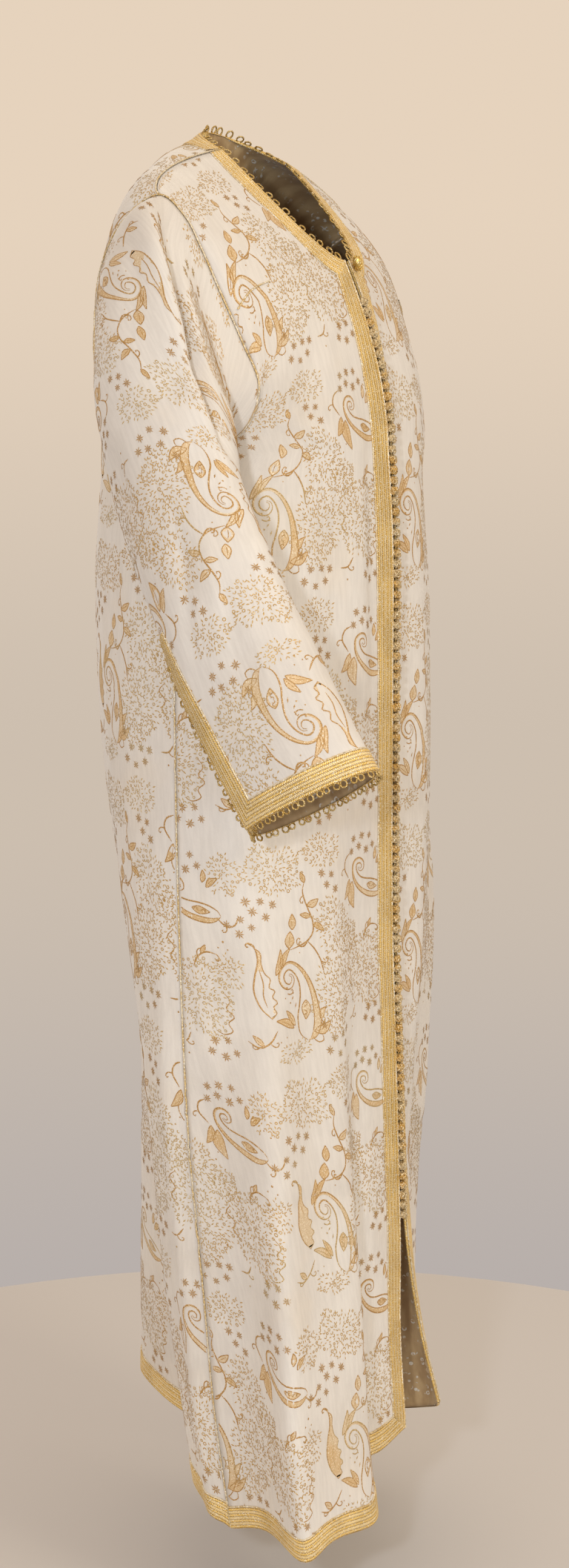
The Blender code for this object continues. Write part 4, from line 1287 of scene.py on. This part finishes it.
def braidStrip(edge, name):
    offset, lift = np.array(braidSection).T
    rows = max(3, int(edge.length / braid["step"]) + 1)
    along = edge.span(np.linspace(0, 1, rows)[:, None], offset[None, :])
    flat = (along, np.broadcast_to(offset / braid["width"], along.shape))
    piece = gridPiece(edge.at(along, offset, lift), flat, name)
    faces = piece.data.polygons
    middle = len(faces) // 2
    outward = edge.normals[min(len(edge.line) - 1, int(len(edge.line) * middle / len(faces))), 7]
    if faces[middle].normal.dot(Vector(outward)) < 0:
        piece.data.flip_normals()
    piece.data.materials.append(wovenBraid)
    bpy.ops.object.shade_smooth()
    return piece


cord = {
    "radius": 0.00110,
    "pitch": 0.0058,  # one whole turn of the two strands
    "step": 0.0014,
    "sides": 6,
    "waist": 0.52,  # depth of the groove between the strands
    "over": -0.0006,  # place across of the cord on each front's edge, and its height
    "lift": 0.0014,
    "apart": 0.0040,  # between the places that its line goes through
}


# Quads of a tube with that many points round it
def tubeFaces(count, sides, closed=False):
    i, j = np.meshgrid(np.arange(count if closed else count - 1), np.arange(sides), indexing="ij")
    here, after, beside = i * sides, (i + 1) % count * sides, (j + 1) % sides
    return np.stack([here + j, here + beside, after + beside, after + j], axis=-1).reshape(-1, 4)


# Two strands twisted together, as one tube whose section turns along it
def twistedTube(line, radius, pitch, step, sides, closed=False):
    line = np.asarray(line, float)
    if closed:
        line = np.vstack([line, line[:1]])
    line, along = evenLine(line, step)
    run = np.gradient(line, axis=0)
    if closed:
        line, along = line[:-1], along[:-1]
        run = np.roll(line, -1, axis=0) - np.roll(line, 1, axis=0)
        whole = distances(np.vstack([line, line[:1]]))[-1]
        pitch = whole / max(1, round(whole / pitch))
    run = unit(run)
    side = np.cross(run[0], (0.0, 0.0, 1.0))
    if np.linalg.norm(side) < 0.2:
        side = np.cross(run[0], (1.0, 0.0, 0.0))
    beside = []
    for heading in run:
        side = side - heading * (side @ heading)
        side = side / np.linalg.norm(side)
        beside.append(side)
    side = np.array(beside)
    angle = np.arange(sides) / sides * 2 * math.pi
    turn = along[:, None] / pitch * math.pi
    lobe = cord["waist"] + (1 - cord["waist"]) * np.abs(np.cos(angle[None, :] - turn))
    out = side[:, None, :] * np.cos(angle)[:, None] + np.cross(run, side)[:, None, :] * np.sin(angle)[:, None]
    points = line[:, None, :] + out * (radius * lobe)[:, :, None]
    return points.reshape(-1, 3), tubeFaces(len(line), sides, closed)


def gather(parts):
    points, faces, base = [], [], 0
    for some, quads in parts:
        points.append(some)
        faces.append(quads + base)
        base += len(some)
    return np.concatenate(points), np.concatenate(faces)


# One mesh of many tubes, entered under its name
def trim(name, parts, material, node=None):
    points, faces = gather(parts)
    enter(meshFrom(name, points, faces, (threads[material],)), node)
    return len(faces)


# Three edges in a row, mitred where they meet
def corneredEdges(tree, first, second, third):
    start, end = cornerMitre(first, second), cornerMitre(second, third)
    return [Edge(tree, first, (0.0, start)), Edge(tree, second, (start, end)), Edge(tree, third, (end, 0.0))]


cornerRow = mesh["yokeRows"] - 1
back = (panels["backRight"].points, panels["backLeft"].points)
backNeck = np.vstack([back[0][:cornerRow + 1, 0], back[1][cornerRow - 1::-1, 0]])
backHem = np.vstack([back[0][-1, :0:-1], back[1][-1]])
backTree = clothTree(panels["backRight"], panels["backLeft"])
edges, cordLines = {}, []
for word in sideWords.values():
    name = "front" + word
    points = panels[name].points
    edges["edge_braid_" + word.lower()] = corneredEdges(
        clothTree(panels[name]), points[:cornerRow + 1, 0], points[cornerRow:, 0], points[-1])
edges["neck_braid_back"] = [Edge(backTree, backNeck)]
edges["hem_braid_back"] = [Edge(backTree, backHem)]
for word in sideWords.values():
    name = "sleeve" + word
    points = panels[name].points
    slit = int(len(points) * cut["slitStart"])
    edges["cuff_braid_" + word.lower()] = corneredEdges(
        clothTree(panels[name]), points[slit:, 0], points[-1], points[slit:, -1][::-1])
for node, parts in edges.items():
    strips = [braidStrip(edge, node + "Woven") for edge in parts]
    enter(joinPieces(strips, node + "Woven"), node)
    line = []
    for edge in parts:
        offset = braid["width"] + braid["cordAcross"]
        along = edge.span(np.linspace(0, 1, max(4, int(edge.length / cord["apart"]))), offset)
        line.append(edge.at(along, offset, braid["cordLift"]))
    cordLines.append(np.vstack(line))
for word in sideWords.values():
    edge = edges["edge_braid_" + word.lower()][1]
    share = np.linspace(0, 1, int(edge.length / cord["apart"]))
    cordLines.append(edge.at(share * edge.length, cord["over"], cord["lift"]))
print("braids laid")

# Cords over the armhole, side, shoulder and shaped seams
for side, word in sideWords.items():
    front, rear, sleeve = (panels[kind + word] for kind in ("front", "back", "sleeve"))
    ring = armhole(side, np.linspace(-180, 180, 121))
    ring[:, 0] *= side
    tree = clothTree(front, rear, sleeve)
    belowArm = mesh["yokeRows"] + mesh["chestRows"] - 2
    sideSeam = (front.points[belowArm:, -1] + rear.points[belowArm:, -1]) / 2
    for line in (ring, sideSeam, (front.points[0] + rear.points[0]) / 2):
        nearest = [tree.find_nearest(Vector(place))[:2] for place in evenLine(line, cord["apart"])[0]]
        cordLines.append(np.array([np.array(spot) + np.array(normal) * braid["cordLift"]
                                   for spot, normal in nearest]))
    dart = throughPlaces((198, 170, 170, 163, 138, 162), 24)
    cordLines.append(front.place(dart[:, 0], dart[:, 1], braid["cordLift"])[0])
cordFaces = trim("seamCords", [twistedTube(line, cord["radius"], cord["pitch"], cord["step"], cord["sides"])
                               for line in cordLines], "piping_thread")
print("cords laid:", cordFaces, "faces")

loops = {
    "pitch": {"neck": 0.0125, "cuff": 0.0088},
    "radius": {"neck": 0.0037, "cuff": 0.0030},
    "thread": 0.00115,
    "twist": 0.0050,
    "step": 0.0019,
    "tilt": (-0.25, 0.25),
    "uneven": (0.9, 1.1),
    "tall": 1.08,  # height for a width of one
    "out": 0.95,  # its middle from the edge, for a radius of one
    "off": 0.0002,  # its middle off the cloth
    "under": 0.0006,  # inwards from the cloth's edge
    "seed": 5,
}
random = np.random.default_rng(loops["seed"])
parts = []
loopEdges = [(edges[node][0], "neck") for node in ("edge_braid_right", "edge_braid_left", "neck_braid_back")]
loopEdges += [(edge, "cuff") for node in ("cuff_braid_right", "cuff_braid_left") for edge in edges[node]]
angle = np.linspace(0, 2 * math.pi, 17)[:-1, None]
for edge, kind in loopEdges:
    count = int(edge.length / loops["pitch"][kind])
    for k in range(count):
        along = (k + 0.5) * edge.length / count
        i = min(len(edge.line) - 1, int(along / edge.length * (len(edge.line) - 1)))
        run, inward, normal = edge.run[i], edge.inward[i], edge.normals[i, 0]
        tilt = random.uniform(*loops["tilt"])
        size = loops["radius"][kind] * random.uniform(*loops["uneven"])
        out = -inward * math.cos(tilt) + normal * math.sin(tilt)
        centre = edge.line[i] - inward * loops["under"] + out * size * loops["out"] + normal * loops["off"]
        ring = centre + (run * np.cos(angle) * size + out * np.sin(angle) * size * loops["tall"])
        parts.append(twistedTube(ring, loops["thread"], loops["twist"], loops["step"], cord["sides"], True))
trim("picotLoops", parts, "picot_thread")
print("loops made:", len(parts))


# The knotted front: one wound knot, copied down the opening
knots = {
    "first": -0.157, "last": -1.130,
    "pitch": 0.0108,
    "ball": 0.0041,  # middle of the thread from the knot's middle
    "core": 0.0037,
    "thread": 0.00140,
    "leads": 3, "bights": 5,  # turns round and swings up and down
    "rise": 1.02,  # radians from its waist to each swing's end
    "swell": 0.10,  # share by which its radius swings
    "squash": 0.95,
    "places": 72,
    "stride": 1.40,  # step along the thread, in places
    "twist": 0.0048,
    "poles": 1.5,  # radians from the core's waist to its narrow rings
    "coreQuads": (10, 7),  # round and up
    "leanOver": 0.01,  # its lean is the cloth's, this far above and below
    "out": 0.0034,
    "aside": -0.0006,  # towards the right front
    "astray": 0.0004,
    "size": (0.92, 1.08),
    "tip": (-0.35, 0.35),
    # the loop beside each knot: its middle from the knot's, radius, thread, twist and step
    "loopAt": (0.0046, -0.0004, -0.0025),
    "loop": 0.0030,
    "loopSize": (0.85, 1.15),
    "loopThread": (0.00085, 0.0040, 0.0016),
    "loopSweep": 1.9, "loopPlaces": 12,  # radians to each end
    "loopShape": (0.25, 0.35, 0.9),  # set back, bow and height for a radius of one
}


def centreFront(height):
    foot = frontEdge(1, 1.0)
    if height > foot[2]:
        t = (height - foot[2]) / (cut["neckFront"][2] - foot[2])
        return np.array([0.0, foot[1] + (cut["neckFront"][1] - foot[1]) * t ** cut["chestCurve"], height])
    table = np.array(levels[-1])
    return np.array([0.0, float(smoothThrough(-table[:, 2], table[:, 1], -height)), height])


def woundBall(radius, leads, bights, count):
    t = np.arange(count) / count * 2 * math.pi
    lift = np.cos(bights * t) * knots["rise"]
    around = leads * t
    reach = radius * (1 + knots["swell"] * np.sin(2 * bights * t))
    line = np.stack([reach * np.cos(lift) * np.cos(around), reach * np.cos(lift) * np.sin(around),
                     reach * np.sin(lift) * knots["squash"]], axis=1)
    step = 2 * math.pi * radius * leads / count * knots["stride"]
    return twistedTube(line, knots["thread"], knots["twist"], step, cord["sides"], True)


# Closed ball of quads, pinched to a narrow ring at each pole
def knotCore(radius, around, rings):
    lift = np.linspace(-knots["poles"], knots["poles"], rings)[:, None]
    turn = (np.arange(around) / around * 2 * math.pi)[None, :]
    points = radius * np.stack([np.cos(lift) * np.cos(turn), np.cos(lift) * np.sin(turn),
                                np.sin(lift) + 0 * turn], axis=-1).reshape(-1, 3)
    return points, tubeFaces(rings, around)


def turnAbout(axis, angle):
    c, s = math.cos(angle), math.sin(angle)
    return np.array({"x": ((1, 0, 0), (0, c, -s), (0, s, c)), "y": ((c, 0, s), (0, 1, 0), (-s, 0, c)),
                     "z": ((c, -s, 0), (s, c, 0), (0, 0, 1))}[axis])


parts = []
ball = woundBall(knots["ball"], knots["leads"], knots["bights"], knots["places"])
ballPoints, ballFaces = gather([ball, knotCore(knots["core"], *knots["coreQuads"])])
sweep = np.linspace(-knots["loopSweep"], knots["loopSweep"], knots["loopPlaces"])
behind, bow, tall = knots["loopShape"]
loopShape = np.stack([np.cos(sweep), behind - bow * np.cos(sweep), np.sin(sweep) * tall], axis=1)
heights = np.arange(knots["first"], knots["last"], -knots["pitch"])
for height in heights:
    ahead = centreFront(height - knots["leanOver"]) - centreFront(height + knots["leanOver"])
    lean = math.atan2(ahead[1], -ahead[2])
    turn, tip = random.uniform(0, 2 * math.pi), random.uniform(*knots["tip"])
    size = random.uniform(*knots["size"])
    turned = turnAbout("x", -lean) @ turnAbout("y", tip) @ turnAbout("z", turn)
    out = np.array([0.0, -math.cos(lean), -math.sin(lean)])
    aside = knots["aside"] + random.uniform(-knots["astray"], knots["astray"])
    spot = centreFront(height) + out * knots["out"] + np.array([aside, 0.0, 0.0])
    parts.append((ballPoints @ turned.T * size + spot, ballFaces))
    loop = loopShape * (knots["loop"] * random.uniform(*knots["loopSize"]))
    parts.append(twistedTube(spot + np.array(knots["loopAt"]) + loop, *knots["loopThread"], cord["sides"]))
trim("knotRow", parts, "knot_thread", "front_knots")
print("knots made:", len(heights))

button = {
    "centre": (0.0105, -0.1050, -0.1150),
    "radii": (0.0052, 0.0047, 0.0078),
    "thread": 0.0011,
    "bars": 5,
    "lean": 0.002,
    "core": 0.93,  # its size within the bars
    "facets": (24, 14),
    "twist": 1.5,  # radians round for one along
    "reach": 1.22, "places": 30,  # radians from its middle to each end of a bar
    "strand": (0.004, 0.0007, 8),  # pitch, step and sides of a bar
}
bpy.ops.mesh.primitive_uv_sphere_add(segments=button["facets"][0], ring_count=button["facets"][1], radius=1.0)
core = bpy.context.object
for vertex in core.data.vertices:
    z = vertex.co.z
    vertex.co = [middle + radius * button["core"] * c
                 for middle, radius, c in zip(button["centre"], button["radii"], vertex.co)]
    vertex.co.x -= button["lean"] * z
core.data.materials.append(threads["button_thread"])
bpy.ops.object.shade_smooth()
strands = []
for k in range(button["bars"]):
    share = np.linspace(-button["reach"], button["reach"], button["places"])
    around = share * button["twist"] + k * 2 * math.pi / button["bars"]
    line = np.stack([np.cos(share) * np.cos(around), np.cos(share) * np.sin(around), np.sin(share)], axis=1)
    line = np.array(button["centre"]) + line * np.array(button["radii"])
    line[:, 0] -= button["lean"] * np.sin(share)
    strands.append(twistedTube(line, button["thread"], *button["strand"]))
points, faces = gather(strands)
bars = meshFrom("buttonBars", points, faces, (threads["button_thread"],))
enter(joinPieces([core, bars], "neckButton"), "neck_button")
print("button wound")


# Floor, light and camera

studio = {
    "floor": -1.54,
    "floorSize": 1.9,
    "floorColour": (0.630, 0.620, 0.630),
    # background from below the horizon to above it: place, colour
    "world": ((0.32, (0.470, 0.425, 0.405)), (0.44, (0.610, 0.520, 0.430)), (0.56, (0.790, 0.650, 0.510))),
    # place, size, power, colour and aim of each soft light
    "lights": (
        ("key", (-2.42, -1.02, -0.12), 0.16, 17.5, (0.90, 0.95, 1.0), (0.0, 0.0, -0.62)),
        ("front", (-0.9, -3.1, 1.0), 1.0, 26.0, (1.0, 0.88, 0.64), (0.0, 0.0, -0.45)),
        ("low", (-1.5, -2.3, -1.25), 0.8, 7.0, (0.68, 0.85, 1.0), (0.0, 0.0, -1.35)),
        ("top", (0.2, -0.8, 2.4), 1.6, 6.0, (1.0, 0.98, 0.95), (0.0, 0.0, -0.62)),
    ),
}
bpy.ops.mesh.primitive_circle_add(vertices=96, radius=studio["floorSize"] / 2, fill_type="NGON",
                                  location=(0.0, 0.0, studio["floor"]))
floor = bpy.context.object
floor.name = "studioFloor"
floorMaterial = newMaterial("floor_pale", lambda m: {"Base Color": studio["floorColour"], "Roughness": 0.85})
floor.data.materials.append(floorMaterial)

for name, place, size, power, colour, aim in studio["lights"]:
    bpy.ops.object.light_add(type="AREA", location=place)
    lamp = bpy.context.object
    lamp.name = name + "Light"
    lamp.data.shape = "DISK"
    lamp.data.size = size
    lamp.data.energy = power
    lamp.data.color = colour
    lamp.rotation_euler = (Vector(aim) - Vector(place)).to_track_quat("-Z", "Y").to_euler()

world = bpy.data.worlds.new("studio")
bpy.context.scene.world = world
world.use_nodes = True
raised = Mixer(world.node_tree)
height = raised.node("SeparateXYZ", {0: raised.place("Generated")}).outputs[2]
colour = raised.ramp(raised.math("MULTIPLY_ADD", height, 0.5, 0.5), *studio["world"])
raised.put(raised.nodes["Background"].inputs["Color"], colour)
raised.put(raised.nodes["Background"].inputs["Strength"], 1.0)
bpy.context.scene.view_settings.view_transform = "Standard"

view = {
    "place": (-2.219, -1.355, -0.338),
    "turn": (82.71, 0.0, -59.0),  # degrees
    "angle": 2 * math.atan(1058 / 3229),  # half the picture's height over the lens distance
}
bpy.ops.object.camera_add(location=view["place"], rotation=[math.radians(a) for a in view["turn"]])
camera = bpy.context.object
camera.name = "photoCamera"
camera.data.sensor_fit = "VERTICAL"
camera.data.angle = view["angle"]
bpy.context.scene.camera = camera
print("stage set")
